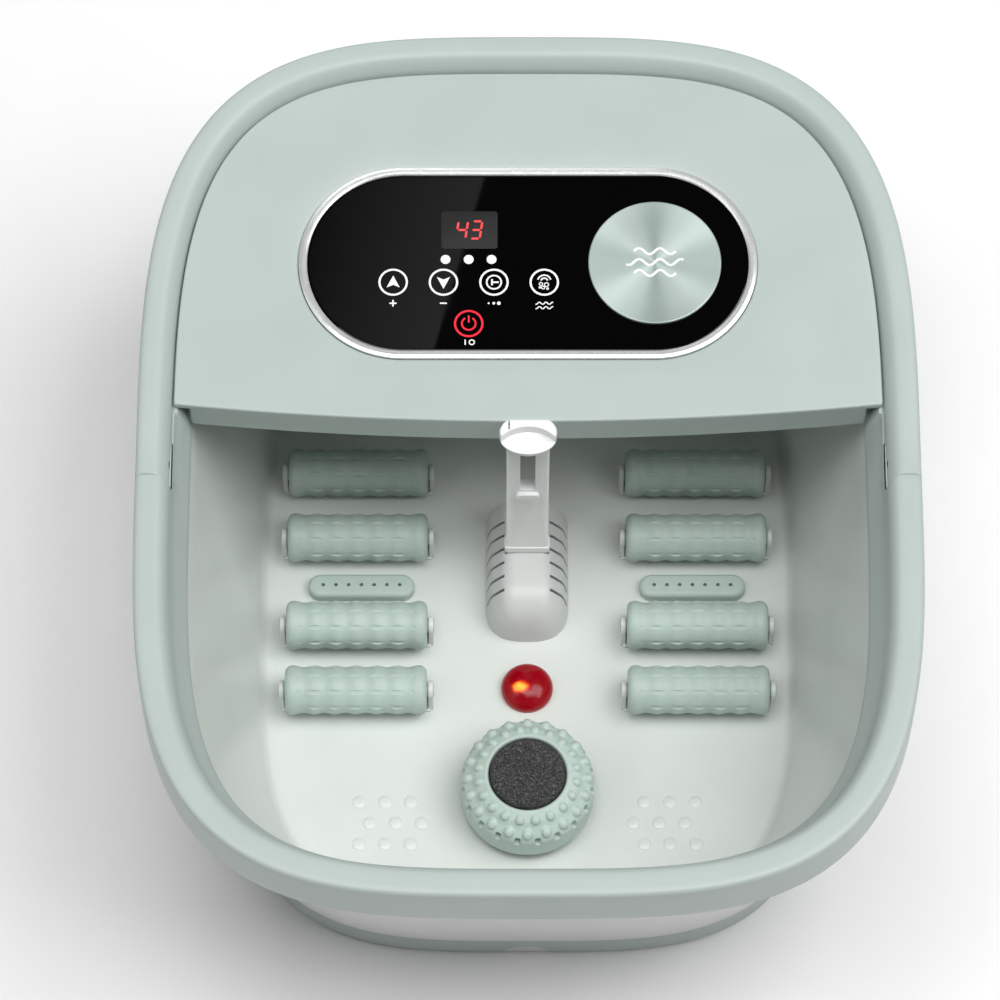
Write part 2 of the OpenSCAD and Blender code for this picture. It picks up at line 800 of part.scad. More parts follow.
module pumice_socket() color(white) {
    translate([0, pumice_y, floor_z]) rotate_extrude()
        polygon([[0, 0], [13, 0], [12, 2.4], [8, 2.8], [8, 13], [7, 14], [0, 14]]);
}

module pumice_holder() color(mint) {
    r = nub_ring_r;
    translate([0, pumice_y, floor_z]) difference() {
        union() {
            rotate_extrude()
                polygon([
                    [8.3, 5], [r - 1.6, 5], [r, 7], [r, 20.5], [r - 2.4, 24], [21.5, 29.4], [19.6, 31],
                    [stone_r + 0.9, 31], [stone_r + 0.1, 30.4], [stone_r + 0.1, 20], [0, 20],
                    [0, 15.5], [8.3, 15.5]
                ]);
            for (i = [0 : 19]) rotate([0, 0, i * 18]) {
                translate([r - 3.4, 0, 24]) sphere(r = 2.3, $fn = 24);
                translate([23, 0, 28.2]) sphere(r = 2, $fn = 24);
            }
        }
        for (i = [0 : 19]) rotate([0, 0, i * 18 + 9]) translate([r - 1.5, -0.9, 16]) cube([4, 1.8, 12]);
    }
}

module pumice_stone() color("#4a484a") {
    translate([0, pumice_y, floor_z + 20]) rotate_extrude()
        polygon([[0, 0], [stone_r, 0], [stone_r, 10.6], [stone_r - 2, 12], [8, 12.8], [0, 13]]);
}

// Bearing plate with a foot on the side of the roller
module roller_bracket() {
    h = roller_z - floor_z;
    difference() {
        union() {
            translate([-bracket_t / 2, -bracket_w / 2, 0]) cube([bracket_t, bracket_w, h]);
            translate([-bracket_t / 2, 0, h]) rotate([0, 90, 0]) cylinder(r = bracket_w / 2, h = bracket_t);
            translate([-2.5, -bracket_w / 2 - 1, 0]) cube([2.5, bracket_w + 2, 1.4]);
        }
        translate([-4, 0, h]) rotate([0, 90, 0]) cylinder(r = stub_r + 0.06, h = 8);
    }
}

module roller_brackets(side) {
    for (y = roller_ys) translate([side * roller_x, y, floor_z])
        both_sides() translate([bracket_x, 0, 0]) roller_bracket();
}

module roller_brackets_left() color(white) roller_brackets(-1);
module roller_brackets_right() color(white) roller_brackets(1);

module roller(side, row) color(mint) {
    half = roller_l / 2;
    tip = half + stub_l;
    translate([side * roller_x, roller_ys[row - 1], roller_z]) rotate([0, 90, 0]) rotate_extrude()
        polygon([
            [0, -tip], [stub_r, -tip], [stub_r, -half], [roller_r - 2.5, -half],
            [roller_r - 0.6, -half + 1.6], [roller_r, -half + 5], [roller_r - 0.5, -half / 2],
            [roller_r, 0], [roller_r - 0.5, half / 2], [roller_r, half - 5],
            [roller_r - 0.6, half - 1.6], [roller_r - 2.5, half], [stub_r, half],
            [stub_r, tip], [0, tip]
        ]);
}

module roller_left_1() roller(-1, 1);
module roller_left_2() roller(-1, 2);
module roller_left_3() roller(-1, 3);
module roller_left_4() roller(-1, 4);
module roller_right_1() roller(1, 1);
module roller_right_2() roller(1, 2);
module roller_right_3() roller(1, 3);
module roller_right_4() roller(1, 4);

// ---------- drain stopper and drain path ----------

module drain_rod() color(white) {
    difference() {
        union() {
            translate([-rod_half, stopper_y - rod_t / 2, rod_bottom_z])
                cube([2 * rod_half, rod_t, rod_top_z - rod_bottom_z]);
            translate([-rod_half - 0.9, stopper_y - rod_t / 2 - 0.6, ridge_z + 0.4])
                cube([2 * rod_half + 1.8, rod_t + 1.2, 5]);
            translate([-5.4, stopper_y - rod_t / 2 - 2, rod_top_z - 56]) cube([10.8, 4, 6.4]);
        }
        translate([-3.45, stopper_y - 5, rod_top_z - 48]) cube([6.9, 10, 40]);
    }
}

module drain_knob() color(white) {
    difference() {
        intersection() {
            translate([0, stopper_y - 2.5, rod_top_z]) scale([13, 8.7, 1]) cylinder(r = 1, h = 11);
            translate([-13, stopper_y - 13, rod_top_z]) cube([26, 16.1, 11]);
        }
        translate([0, stopper_y - 17.1, rod_top_z + 5.5]) cylinder(r = 17, h = 6);
    }
}

module drain_plug() color(rubber) {
    translate([0, stopper_y, 0]) rotate_extrude()
        polygon([
            [0, floor_z - 2.2], [9.4, floor_z - 2.2], [9.7, floor_z + 0.4], [11.6, floor_z + 0.4],
            [11.6, floor_z + 2.4], [5, floor_z + 3.4], [4, rod_bottom_z], [0, rod_bottom_z]
        ]);
}

module drain_sump() color(white) {
    difference() {
        union() {
            translate([0, stopper_y, 4.6]) cylinder(r = 14, h = floor_z - wall - 4.6);
            translate([0, stopper_y, duct_z]) rotate([90, 0, 0]) cylinder(r = duct_r + 0.1, h = 18);
        }
        translate([0, stopper_y, 5.8]) cylinder(r = 11.5, h = 60);
        translate([0, stopper_y, duct_z]) rotate([90, 0, 0]) cylinder(r = 3.2, h = 30);
    }
}

module drain_duct() color([0.8, 0.85, 0.85]) {
    translate([0, stopper_y - 18, duct_z]) rotate([90, 0, 0]) difference() {
        cylinder(r = duct_r, h = 132);
        translate([0, 0, -1]) cylinder(r = 3.2, h = 140);
    }
}

module drain_spout() color(white) {
    difference() {
        intersection() {
            translate([0, -132.6, 0.2]) rotate([90, 0, 0]) cylinder(r = 11.2, h = 27.4);
            translate([-20, -170, pan_z]) cube([40, 40, 20]);
        }
        translate([0, -130, duct_z - 1.6]) rotate([90, 0, 0]) cylinder(r = 2.4, h = 23);
        translate([0, -153, 0]) cylinder(r = 3.2, h = 8);
    }
}

base_pan();
rubber_feet();
base_screws();
outer_shell();
basin();
rim_frame();
rim_seal();
carry_handle();
handle_pins();
console_cover();
console_tray();
console_screws();
control_panel();
panel_bezel();
display_window();
display_module();
indicator_leds();
badge_disc();
touch_springs();
control_pcb();
power_pcb();
wire_harness();
cord_gland();
heater_block();
thermal_cutout();
temperature_probe();
air_pump();
pump_mounts();
air_tubes();
check_valve();
bubble_bar_left();
bubble_bar_right();
heater_cover();
red_lens();
red_led_board();
pumice_socket();
pumice_holder();
pumice_stone();
drain_rod();
drain_knob();
drain_plug();
drain_sump();
drain_duct();
drain_spout();
roller_brackets_left();
roller_brackets_right();
roller_left_1();
roller_left_2();
roller_left_3();
roller_left_4();
roller_right_1();
roller_right_2();
roller_right_3();
roller_right_4();
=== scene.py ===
"""Looks of the heated foot bath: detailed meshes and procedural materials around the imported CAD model."""

import random
from math import acos, asin, copysign, cos, degrees, hypot, pi, radians, sin, sqrt, tan

import bmesh
import bpy
import numpy as np
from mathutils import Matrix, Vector, noise


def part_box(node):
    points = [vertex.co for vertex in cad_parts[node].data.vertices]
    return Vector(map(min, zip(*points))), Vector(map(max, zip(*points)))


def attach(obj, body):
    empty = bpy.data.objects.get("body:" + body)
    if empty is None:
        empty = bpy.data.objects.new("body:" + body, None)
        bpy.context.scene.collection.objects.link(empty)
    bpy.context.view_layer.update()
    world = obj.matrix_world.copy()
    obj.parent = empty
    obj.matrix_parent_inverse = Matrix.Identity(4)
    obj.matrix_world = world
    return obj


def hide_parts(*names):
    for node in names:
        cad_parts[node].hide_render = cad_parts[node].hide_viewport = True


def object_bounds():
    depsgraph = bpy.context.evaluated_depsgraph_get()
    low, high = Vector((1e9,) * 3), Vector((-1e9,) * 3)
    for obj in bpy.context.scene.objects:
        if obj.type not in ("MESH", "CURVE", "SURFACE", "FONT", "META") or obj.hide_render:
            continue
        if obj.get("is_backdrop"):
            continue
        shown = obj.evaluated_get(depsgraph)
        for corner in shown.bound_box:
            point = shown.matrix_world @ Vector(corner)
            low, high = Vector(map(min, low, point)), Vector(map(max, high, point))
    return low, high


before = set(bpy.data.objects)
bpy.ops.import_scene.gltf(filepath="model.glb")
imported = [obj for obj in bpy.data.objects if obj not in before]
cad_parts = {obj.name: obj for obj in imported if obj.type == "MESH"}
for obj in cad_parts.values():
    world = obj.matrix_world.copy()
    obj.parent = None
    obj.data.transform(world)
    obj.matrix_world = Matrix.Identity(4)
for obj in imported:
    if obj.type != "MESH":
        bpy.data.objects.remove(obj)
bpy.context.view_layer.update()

MM = 0.001
BODY = "tub_body"
random.seed(7)


def span(node):
    """Lowest and highest corner of a CAD node, in millimetres."""
    low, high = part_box(node)
    return np.array(low) / MM, np.array(high) / MM


def middle(node):
    low, high = span(node)
    return (low + high) / 2


# ---------------------------------------------------------------- outline of the body

RIM_LOW, RIM_HIGH = span("rim_frame")
HALF_W = RIM_HIGH[0]
SEAM_Y = -7.0
REAR_D = RIM_HIGH[1] - SEAM_Y
FRONT_D = SEAM_Y - RIM_LOW[1]
CORNER_N = 3.5
TILT = radians(4.5)
RIM_Z = 195.0
SKIRT_Z = RIM_LOW[2]
FLANGE_Z = 173.0
FLOOR_Z = span("red_lens")[0][2] + 3.5
WALL = 2.5

RIM = (HALF_W, FRONT_D, REAR_D)
PAN_LOW = (136.5, 151.4, 168.5)
PAN_MID = (138.6, 153.4, 170.5)
PAN_TOP = (139.6, 154.1, 171.5)
SHELL_MID = (154.0, 172.5, 190.0)
FLOOR_LOW = (118.0, 147.0, 151.0)
FLOOR_MID = (122.5, 151.8, 155.6)
FLOOR_HIGH = (125.0, 154.5, 158.6)
FLOOR_WALL = (126.4, 156.2, 160.6)


def signed_pow(v, p):
    return copysign(abs(v) ** p, v)


def oval(s, outline=RIM, inset=0.0):
    """Point of the rounded-square outline, s quarter turns from the right seam, with a normal inset."""
    quarter, part = divmod(s, 1.0)
    k = CORNER_N / 2
    a, b = part**k, (1 - part) ** k
    t = (quarter + a / (a + b)) * pi / 2
    half, front, rear = outline
    depth = front if sin(t) < -1e-12 else rear
    x = half * signed_pow(cos(t), 2 / CORNER_N)
    y = depth * signed_pow(sin(t), 2 / CORNER_N)
    nx = signed_pow(x / half, CORNER_N - 1) / half
    ny = signed_pow(y / depth, CORNER_N - 1) / depth
    size = hypot(nx, ny)
    return x - inset * nx / size, SEAM_Y + y - inset * ny / size


def s_at(y):
    """Quarter turns at which the right side of the rim reaches y."""
    low, high = (0.0, 1.0) if y >= SEAM_Y else (-1.0, 0.0)
    for _ in range(50):
        mid = (low + high) / 2
        if oval(mid)[1] < y:
            low = mid
        else:
            high = mid
    return (low + high) / 2


def lengths_of(points):
    """Length along a line up to each of its points."""
    return np.concatenate([[0], np.cumsum(np.linalg.norm(np.diff(points, axis=0), axis=1))])


def even(s0, s1, count, outline=RIM):
    """count + 1 values of s, evenly spaced along the outline."""
    dense = np.linspace(s0, s1, 4001)
    lengths = lengths_of(np.array([oval(s, outline) for s in dense]))
    return np.interp(np.linspace(0, lengths[-1], count + 1), lengths, dense)


BEND_Y = 2.5
BEND_SOFT = 1.0
REAR_RISE = span("carry_handle")[1][2] - RIM_Z
TOP_INSET, TOP_DROP = 2.0, 0.1
SLOPE = (REAR_RISE + TOP_DROP) / (RIM_HIGH[1] - TOP_INSET - BEND_Y)


def rise(y):
    """Height of the handle's top line over the front rim: level at first, then a straight slope."""
    d = y - BEND_Y
    if d < -BEND_SOFT:
        return 0.0
    if d < BEND_SOFT:
        return SLOPE * (d + BEND_SOFT) ** 2 / (4 * BEND_SOFT)
    return SLOPE * d


def on_slope(x, s, h):
    """Point of the console: s along the inclined plane from the seam, h square to it."""
    return (
        x,
        SEAM_Y + s * cos(TILT) - h * sin(TILT),
        RIM_Z + s * sin(TILT) + h * cos(TILT),
    )


def slope_z(y, h):
    """Height at y of a plane parallel to the console, h above the handle's top plane."""
    return RIM_Z + (h + (y - SEAM_Y) * sin(TILT)) / cos(TILT)


# ---------------------------------------------------------------- profiles


def cubic(a, ta, b, tb, per):
    """The first per points of the cubic from a to b with these end slopes."""
    return [
        (2 * u**3 - 3 * u**2 + 1) * a
        + (u**3 - 2 * u**2 + u) * ta
        + (3 * u**2 - 2 * u**3) * b
        + (u**3 - u**2) * tb
        for u in (k / per for k in range(per))
    ]


def smooth(points, per, corners=(), closed=True):
    """Curve through points, with straight runs into the listed corners."""
    p = [np.array(q, float) for q in points]
    n = len(p)
    sharp = set(corners)
    if not closed:
        sharp |= {0, n - 1}
    made = []
    for i in range(n if closed else n - 1):
        a, b = p[i], p[(i + 1) % n]
        d = b - a
        ta = d if i in sharp else slope_of(p, i) * np.linalg.norm(d)
        j = (i + 1) % n
        tb = d if j in sharp else slope_of(p, j) * np.linalg.norm(d)
        made += cubic(a, ta, b, tb, per)
    if not closed:
        made.append(p[-1])
    return made


def slope_of(p, i):
    before, after = p[i] - p[i - 1], p[(i + 1) % len(p)] - p[i]
    return (before + after) / (np.linalg.norm(before) + np.linalg.norm(after))


def rounded(points, radii, steps=5, closed=True):
    """Polygon with its corners replaced by arcs of the given radii."""
    p = [np.array(q, float) for q in points]
    n = len(p)
    made = []
    for i in range(n):
        r = radii[i] if hasattr(radii, "__len__") else radii
        if r <= 0 or (not closed and i in (0, n - 1)):
            made.append(p[i])
            continue
        a, b = p[i - 1] - p[i], p[(i + 1) % n] - p[i]
        la, lb = np.linalg.norm(a), np.linalg.norm(b)
        a, b = a / la, b / lb
        half = acos(max(-1, min(1, float(a @ b)))) / 2
        reach = min(r / max(tan(half), 1e-6), 0.49 * la, 0.49 * lb)
        start, end = p[i] + a * reach, p[i] + b * reach
        for k in range(steps + 1):
            u = k / steps
            made.append((1 - u) ** 2 * start + 2 * u * (1 - u) * p[i] + u**2 * end)
    return made


def smooth_rings(rings, per, corners=()):
    """More rings between the given ones, on a smooth curve; per and corners as in smooth()."""
    means = [np.array(r, float) for r in rings]
    size = [0.0]
    for a, b in zip(means, means[1:]):
        size.append(size[-1] + float(np.linalg.norm(b - a, axis=1).mean()))
    made = []
    n = len(means)
    sharp = set(corners) | {0, n - 1}
    tangent = [
        None if i in sharp else (means[i + 1] - means[i - 1]) / (size[i + 1] - size[i - 1])
        for i in range(n)
    ]
    for i in range(n - 1):
        a, b = means[i], means[i + 1]
        length = size[i + 1] - size[i]
        ta = b - a if tangent[i] is None else tangent[i] * length
        tb = b - a if tangent[i + 1] is None else tangent[i + 1] * length
        made += cubic(a, ta, b, tb, per)
    made.append(means[-1])
    return made


# ---------------------------------------------------------------- mesh helpers


def placed(name, data):
    """New object of the scene."""
    made = bpy.data.objects.new(name, data)
    bpy.context.scene.collection.objects.link(made)
    return made


def build(name, verts, faces, angle=38.0):
    """Object from vertices in millimetres, with smooth shading up to the given edge angle."""
    mesh = bpy.data.meshes.new(name)
    mesh.from_pydata([tuple(float(c) * MM for c in v) for v in verts], [], faces)
    work = bmesh.new()
    work.from_mesh(mesh)
    bmesh.ops.remove_doubles(work, verts=work.verts, dist=1e-7)
    bmesh.ops.recalc_face_normals(work, faces=work.faces)
    work.to_mesh(mesh)
    work.free()
    obj = placed(name, mesh)
    shade(obj, angle)
    return obj


def shade(obj, angle=38.0):
    mesh = obj.data
    mesh.shade_smooth()
    mesh.set_sharp_from_angle(angle=radians(angle))


def loft_data(rings, looped=False, caps=True):
    n, m = len(rings[0]), len(rings)
    verts = [v for ring in rings for v in ring]
    faces = []
    for j in range(m if looped else m - 1):
        for i in range(n):
            k, up = (i + 1) % n, (j + 1) % m
            faces.append((j * n + i, j * n + k, up * n + k, up * n + i))
    if caps and not looped:
        faces.append(tuple(range(n - 1, -1, -1)))
        faces.append(tuple(range((m - 1) * n, m * n)))
    return verts, faces


def loft(name, rings, looped=False, caps=True, angle=38.0):
    verts, faces = loft_data(rings, looped, caps)
    return build(name, verts, faces, angle)


def revolve_rings(profile, steps, centre=(0, 0, 0), axis="z"):
    """Rings of a turned shape; profile is [radius, height]. Radius 0 ends are closed by the cap."""
    rings = []
    for r, h in profile:
        ring = []
        for i in range(steps):
            a = 2 * pi * i / steps
            c, s = max(r, 1e-4) * cos(a), max(r, 1e-4) * sin(a)
            p = (c, s, h) if axis == "z" else (h, c, s) if axis == "x" else (s, h, c)
            ring.append(tuple(p[k] + centre[k] for k in range(3)))
        rings.append(ring)
    return rings


def turned(name, profile, steps, centre=(0, 0, 0), axis="z", angle=38.0):
    return loft(name, revolve_rings(profile, steps, centre, axis), angle=angle)


def prism(points, low, high, plane="xy"):
    """Vertices and faces of a straight extrusion of a polygon."""
    n = len(points)
    put = {
        "xy": lambda p, h: (p[0], p[1], h),
        "yz": lambda p, h: (h, p[0], p[1]),
        "xz": lambda p, h: (p[0], h, p[1]),
    }[plane]
    verts = [put(p, low) for p in points] + [put(p, high) for p in points]
    faces = [tuple(range(n)), tuple(range(2 * n - 1, n - 1, -1))]
    faces += [(i, n + i, n + (i + 1) % n, (i + 1) % n) for i in range(n)]
    return verts, faces


def box_data(low, high):
    corners = [(low[0], low[1]), (high[0], low[1]), (high[0], high[1]), (low[0], high[1])]
    return prism(corners, low[2], high[2])


def sweep(steps, start=0.0, end=360.0):
    """Angles of a full turn, or of an arc with both its ends."""
    count = steps if end - start >= 360 else steps + 1
    return [radians(start + (end - start) * i / steps) for i in range(count)]


def circle(cx, cy, r, steps=48, *arc):
    return [(cx + r * cos(a), cy + r * sin(a)) for a in sweep(steps, *arc)]


def merged(parts):
    verts, faces = [], []
    for v, f in parts:
        faces += [tuple(i + len(verts) for i in face) for face in f]
        verts += list(v)
    return verts, faces


def applied(obj):
    """Bakes the modifiers of obj into its mesh."""
    graph = bpy.context.evaluated_depsgraph_get()
    mesh = bpy.data.meshes.new_from_object(obj.evaluated_get(graph))
    old = obj.data
    obj.modifiers.clear()
    obj.data = mesh
    bpy.data.meshes.remove(old)
    return obj


def boolean(obj, parts, operation="DIFFERENCE"):
    """Cuts, joins or keeps by closed volumes given as vertices and faces."""
    tool = build(obj.name + "_tool", *merged(parts))
    step = obj.modifiers.new("cut", "BOOLEAN")
    step.operation = operation
    step.object = tool
    step.solver = "EXACT"
    applied(obj)
    bpy.data.objects.remove(tool)
    return obj


def softened(obj, width, segments=2, angle=40.0):
    """Rounds the sharp edges of obj when it is rendered or exported."""
    step = obj.modifiers.new("edge", "BEVEL")
    step.width = width * MM
    step.segments = segments
    step.limit_method = "ANGLE"
    step.angle_limit = radians(angle)


def bevelled(obj, width, segments=2, angle=40.0):
    """Rounds the sharp edges of obj."""
    softened(obj, width, segments, angle)
    return applied(obj)


def finish_piece(obj, material, body=BODY, replaces=(), angle=38.0):
    obj.data.materials.clear()
    obj.data.materials.append(material)
    shade(obj, angle)
    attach(obj, body)
    if replaces:
        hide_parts(*replaces)
    return obj


# ---------------------------------------------------------------- materials


def material(name):
    made = bpy.data.materials.new(name)
    made.use_nodes = True
    return made, made.node_tree, made.node_tree.nodes["Principled BSDF"]


def feed(tree, node, inputs):
    """Sets each input of a node to its constant, or links it to the socket given."""
    for key, value in inputs.items():
        if isinstance(value, bpy.types.NodeSocket):
            tree.links.new(value, node.inputs[key])
        else:
            node.inputs[key].default_value = value


def add(tree, kind, inputs, **settings):
    made = tree.nodes.new("ShaderNode" + kind)
    for key, value in settings.items():
        setattr(made, key, value)
    feed(tree, made, inputs)
    return made


def place(tree, output="Object"):
    return add(tree, "TexCoord", {}).outputs[output]


def grain(tree, scale, detail=3.0, rough=0.5, output="Fac"):
    inputs = {"Scale": scale, "Detail": detail, "Roughness": rough, "Vector": place(tree)}
    return add(tree, "TexNoise", inputs).outputs[output]


def spread(tree, source, low, high, start=0.3, end=0.7):
    inputs = {"From Min": start, "From Max": end, "To Min": low, "To Max": high, "Value": source}
    return add(tree, "MapRange", inputs).outputs["Result"]


def blend_colours(tree, factor, first, second):
    inputs = {"A": (*first, 1.0), "B": (*second, 1.0), "Factor": factor}
    return add(tree, "Mix", inputs, data_type="RGBA").outputs["Result"]


def bumped(tree, height, strength, distance):
    inputs = {"Strength": strength, "Distance": distance, "Height": height}
    return add(tree, "Bump", inputs).outputs["Normal"]


def moulded(name, colour, rough, tint=0.03, fine=900.0, bump=0.25, depth=0.00004, metal=0.0, level=0.5,
            subsurface=0.0):
    """Moulded plastic, rubber or plain metal: cloudy tone, uneven gloss and a fine grain."""
    made, tree, shader = material(name)
    cloud = grain(tree, 26.0, 4.0)
    darker = tuple(c * (1 - tint) for c in colour)
    lighter = tuple(min(1.0, c * (1 + tint)) for c in colour)
    feed(tree, shader, {
        "Base Color": blend_colours(tree, spread(tree, cloud, 0, 1), darker, lighter),
        "Roughness": spread(tree, cloud, rough * 0.9, min(1.0, rough * 1.12)),
        "Normal": bumped(tree, grain(tree, fine, 2.0, 0.6), bump, depth),
        "Metallic": metal, "Specular IOR Level": level,
    })
    if subsurface:
        feed(tree, shader, {"Subsurface Weight": subsurface, "Subsurface Scale": 0.004})
    return made


def glowing(name, colour, strength, base=(0.02, 0.02, 0.02)):
    """Lit mark: emission with a slight unevenness."""
    made, tree, shader = material(name)
    dimmer = tuple(c * 0.94 for c in colour)
    feed(tree, shader, {
        "Base Color": (*base, 1.0), "Roughness": 0.4, "Emission Strength": strength,
        "Emission Color": blend_colours(tree, grain(tree, 300.0), dimmer, colour),
    })
    return made


SMOOTH = {"tint": 0.015, "fine": 1200.0, "bump": 0.12, "depth": 0.00003}
mint = moulded("mint_plastic", (0.445, 0.512, 0.490), 0.42, **{**SMOOTH, "fine": 1400.0})
mint_soft = moulded(
    "mint_soft", (0.45, 0.55, 0.50), 0.5, tint=0.04, fine=700.0, bump=0.3, depth=0.00008, subsurface=0.1
)
# painted light: a lighter copy of the white plastic for the stopper post and knob, which stand in the
# console's shade
bright = moulded("post_plastic_painted_light", (0.86, 0.865, 0.86), 0.34, **SMOOTH)
# painted shade: a darker copy of the white plastic for the vent ridge
painted_shade_white = moulded("ridge_plastic_painted_shade", (0.60, 0.605, 0.598), 0.4, **SMOOTH)
white = moulded("white_plastic", (0.70, 0.705, 0.70), 0.38, **SMOOTH)
liner = moulded("liner_plastic", (0.665, 0.70, 0.67), 0.33, tint=0.02, fine=500.0, bump=0.2, depth=0.00006)
black = moulded("black_plastic", (0.02, 0.02, 0.022), 0.5, tint=0.1, bump=0.4)
rubber = moulded("rubber", (0.03, 0.031, 0.033), 0.72, tint=0.15, fine=500.0, bump=0.5, depth=0.0001)
steel = moulded("steel", (0.58, 0.58, 0.58), 0.28, tint=0.05, fine=1600.0, bump=0.3, metal=1.0)
aluminium = moulded(
    "aluminium", (0.65, 0.66, 0.67), 0.42, tint=0.05, fine=800.0, bump=0.5, depth=0.0001, metal=1.0
)
clear = moulded("clear_tube", (0.7, 0.73, 0.73), 0.25, tint=0.03)
clear.node_tree.nodes["Principled BSDF"].inputs["Transmission Weight"].default_value = 0.4
white_print = glowing("white_print", (0.86, 0.87, 0.87), 0.2, base=(0.75, 0.75, 0.75))
red_print = glowing("red_print", (0.80, 0.006, 0.030), 0.75, base=(0.5, 0.0, 0.01))
red_digit = glowing("red_digit", (1.0, 0.05, 0.05), 1.2)


def board_material():
    made, tree, shader = material("circuit_board")
    tracks = add(tree, "TexBrick", {
        "Scale": 240.0, "Mortar Size": 0.06, "Color1": (0.01, 0.09, 0.035, 1),
        "Color2": (0.015, 0.13, 0.05, 1), "Mortar": (0.03, 0.22, 0.09, 1), "Vector": place(tree),
    })
    feed(tree, shader, {
        "Base Color": tracks.outputs["Color"], "Roughness": 0.35,
        "Normal": bumped(tree, tracks.outputs["Fac"], 0.3, 0.0001),
    })
    return made


def gloss_material():
    """Black touch glass with faint smears in its gloss."""
    made, tree, shader = material("black_gloss")
    feed(tree, shader, {
        "Base Color": (0.0012, 0.0012, 0.0013, 1),
        "Roughness": spread(tree, grain(tree, 45.0, 5.0, 0.6), 0.01, 0.03),
        "Normal": bumped(tree, grain(tree, 20.0, 2.0), 0.01, 0.0001),
    })
    return made


def tint_material():
    made, tree, shader = material("display_tint")
    dark, light = (0.0185, 0.0185, 0.0185), (0.0195, 0.0195, 0.0195)
    feed(tree, shader, {
        "Base Color": blend_colours(tree, grain(tree, 60.0), dark, light),
        "Roughness": 0.5, "Specular IOR Level": 0.15,
    })
    return made


def chrome_material():
    made, tree, shader = material("chrome_trim")
    feed(tree, shader, {
        "Base Color": (0.69, 0.70, 0.70, 1), "Metallic": 0.45,
        "Roughness": spread(tree, grain(tree, 160.0, 4.0), 0.22, 0.3),
    })
    return made


def spun_material():
    """Turned metal disc: fine rings, a radial grain and broad soft rays of painted highlight in its colour.
    """
    made, tree, shader = material("spun_metal")
    split = add(tree, "SeparateXYZ", {"Vector": place(tree)}).outputs

    def calc(kind, *values):
        return add(tree, "Math", dict(enumerate(values)), operation=kind).outputs[0]

    angle = calc("ARCTAN2", split["Y"], split["X"])
    squares = [calc("MULTIPLY", split[axis], split[axis]) for axis in "XY"]
    radius = calc("SQRT", calc("ADD", *squares))
    # painted highlight: the colour is lightened and darkened by angle round the middle, in four broad rays
    # with a faint ripple, standing in for the sheen of spun metal
    rays = calc("COSINE", calc("MULTIPLY", angle, 4.0))
    painted_sheen_ripple = calc("MULTIPLY", calc("COSINE", calc("MULTIPLY", angle, 10.0)), 0.12)
    tone = spread(tree, calc("ADD", calc("MULTIPLY", rays, -0.5), painted_sheen_ripple), 0, 1, -0.62, 0.62)
    rings = calc("SINE", calc("MULTIPLY", radius, 2 * pi / 0.0007))
    tangent = add(tree, "Tangent", {}, direction_type="RADIAL", axis="Z")
    feed(tree, shader, {
        "Base Color": blend_colours(tree, tone, (0.33, 0.40, 0.375), (0.52, 0.605, 0.575)),
        "Normal": bumped(tree, rings, 0.25, 0.00002), "Metallic": 0.35, "Roughness": 0.42,
        "Anisotropic": 0.6, "Tangent": tangent.outputs["Tangent"],
    })
    return made


def colour_ramp(tree, factor, stops):
    """Colour ramp; stops are (position, colour) in order."""
    made = add(tree, "ValToRGB", {"Fac": factor})
    elements = made.color_ramp.elements
    for element, (at, colour) in zip(elements, (stops[0], stops[-1])):
        element.position, element.color = at, (*colour, 1)
    for at, colour in stops[1:-1]:
        elements.new(at).color = (*colour, 1)
    return made.outputs["Color"]


def pumice_material():
    """Coarse dark stone with pits and a few bright grains."""
    made, tree, shader = material("pumice")
    cells = add(tree, "TexVoronoi", {"Scale": 1150.0, "Vector": place(tree)})
    feed(tree, shader, {
        "Base Color": colour_ramp(tree, grain(tree, 1250.0, 5.0, 0.78), [
            (0.42, (0.010, 0.010, 0.011)), (0.60, (0.075, 0.074, 0.077)), (0.70, (0.42, 0.42, 0.43)),
        ]),
        "Roughness": 0.92,
        "Normal": bumped(tree, cells.outputs["Distance"], 0.8, 0.0004),
    })
    return made


def lens_material():
    """Red lens lit from below: deep red emission from the LED under it, with a painted glint as a hot,
    off-centre spot.
    """
    made, tree, shader = material("red_lens")
    moved = add(tree, "Mapping", {
        "Scale": (170.0, 250.0, 60.0), "Location": (0.235, 0.275, -0.73), "Vector": place(tree),
    })
    shift = add(tree, "MixRGB", {
        "Fac": 0.55, "Color1": moved.outputs["Vector"], "Color2": grain(tree, 330.0, 2.0, output="Color"),
    }, blend_type="ADD")
    # painted glint: a spherical gradient set off the lens's middle makes the hot yellow spot in the emission
    painted_glint = add(tree, "TexGradient", {"Vector": shift.outputs["Color"]}, gradient_type="SPHERICAL")
    feed(tree, shader, {
        "Emission Color": colour_ramp(tree, painted_glint.outputs["Fac"], [
            (0.0, (0.11, 0.0, 0.002)), (0.2, (0.22, 0.0, 0.004)), (0.42, (0.85, 0.08, 0.01)),
            (0.6, (1.0, 0.5, 0.04)), (1.0, (1.0, 0.85, 0.12)),
        ]),
        "Base Color": (0.20, 0.0, 0.004, 1), "Emission Strength": 0.9, "Roughness": 0.2,
        "Specular IOR Level": 0.3, "Normal": bumped(tree, grain(tree, 240.0, 2.0), 0.35, 0.0006),
    })
    return made


circuit = board_material()
gloss = gloss_material()
tinted = tint_material()
chrome = chrome_material()
spun = spun_material()
stone = pumice_material()
ruby = lens_material()

# ---------------------------------------------------------------- rim ring and handle

PIVOT_Y = middle("handle_pins")[1]
PIVOT_Z = middle("handle_pins")[2]
HANDLE_IN = 15.6
END_R = 10.8
POCKET_R = 11.5
LUG_IN, LUG_W, LUG_R = 7.0, 4.0, 4.2
FILL_Z = SKIRT_Z + 4.9

FOOT = RIM_Z - SKIRT_Z


def section_of(points):
    """Section points from their inset and their drop below the rim's top."""
    return [(x, SKIRT_Z if drop == FOOT else RIM_Z - drop) for x, drop in points]


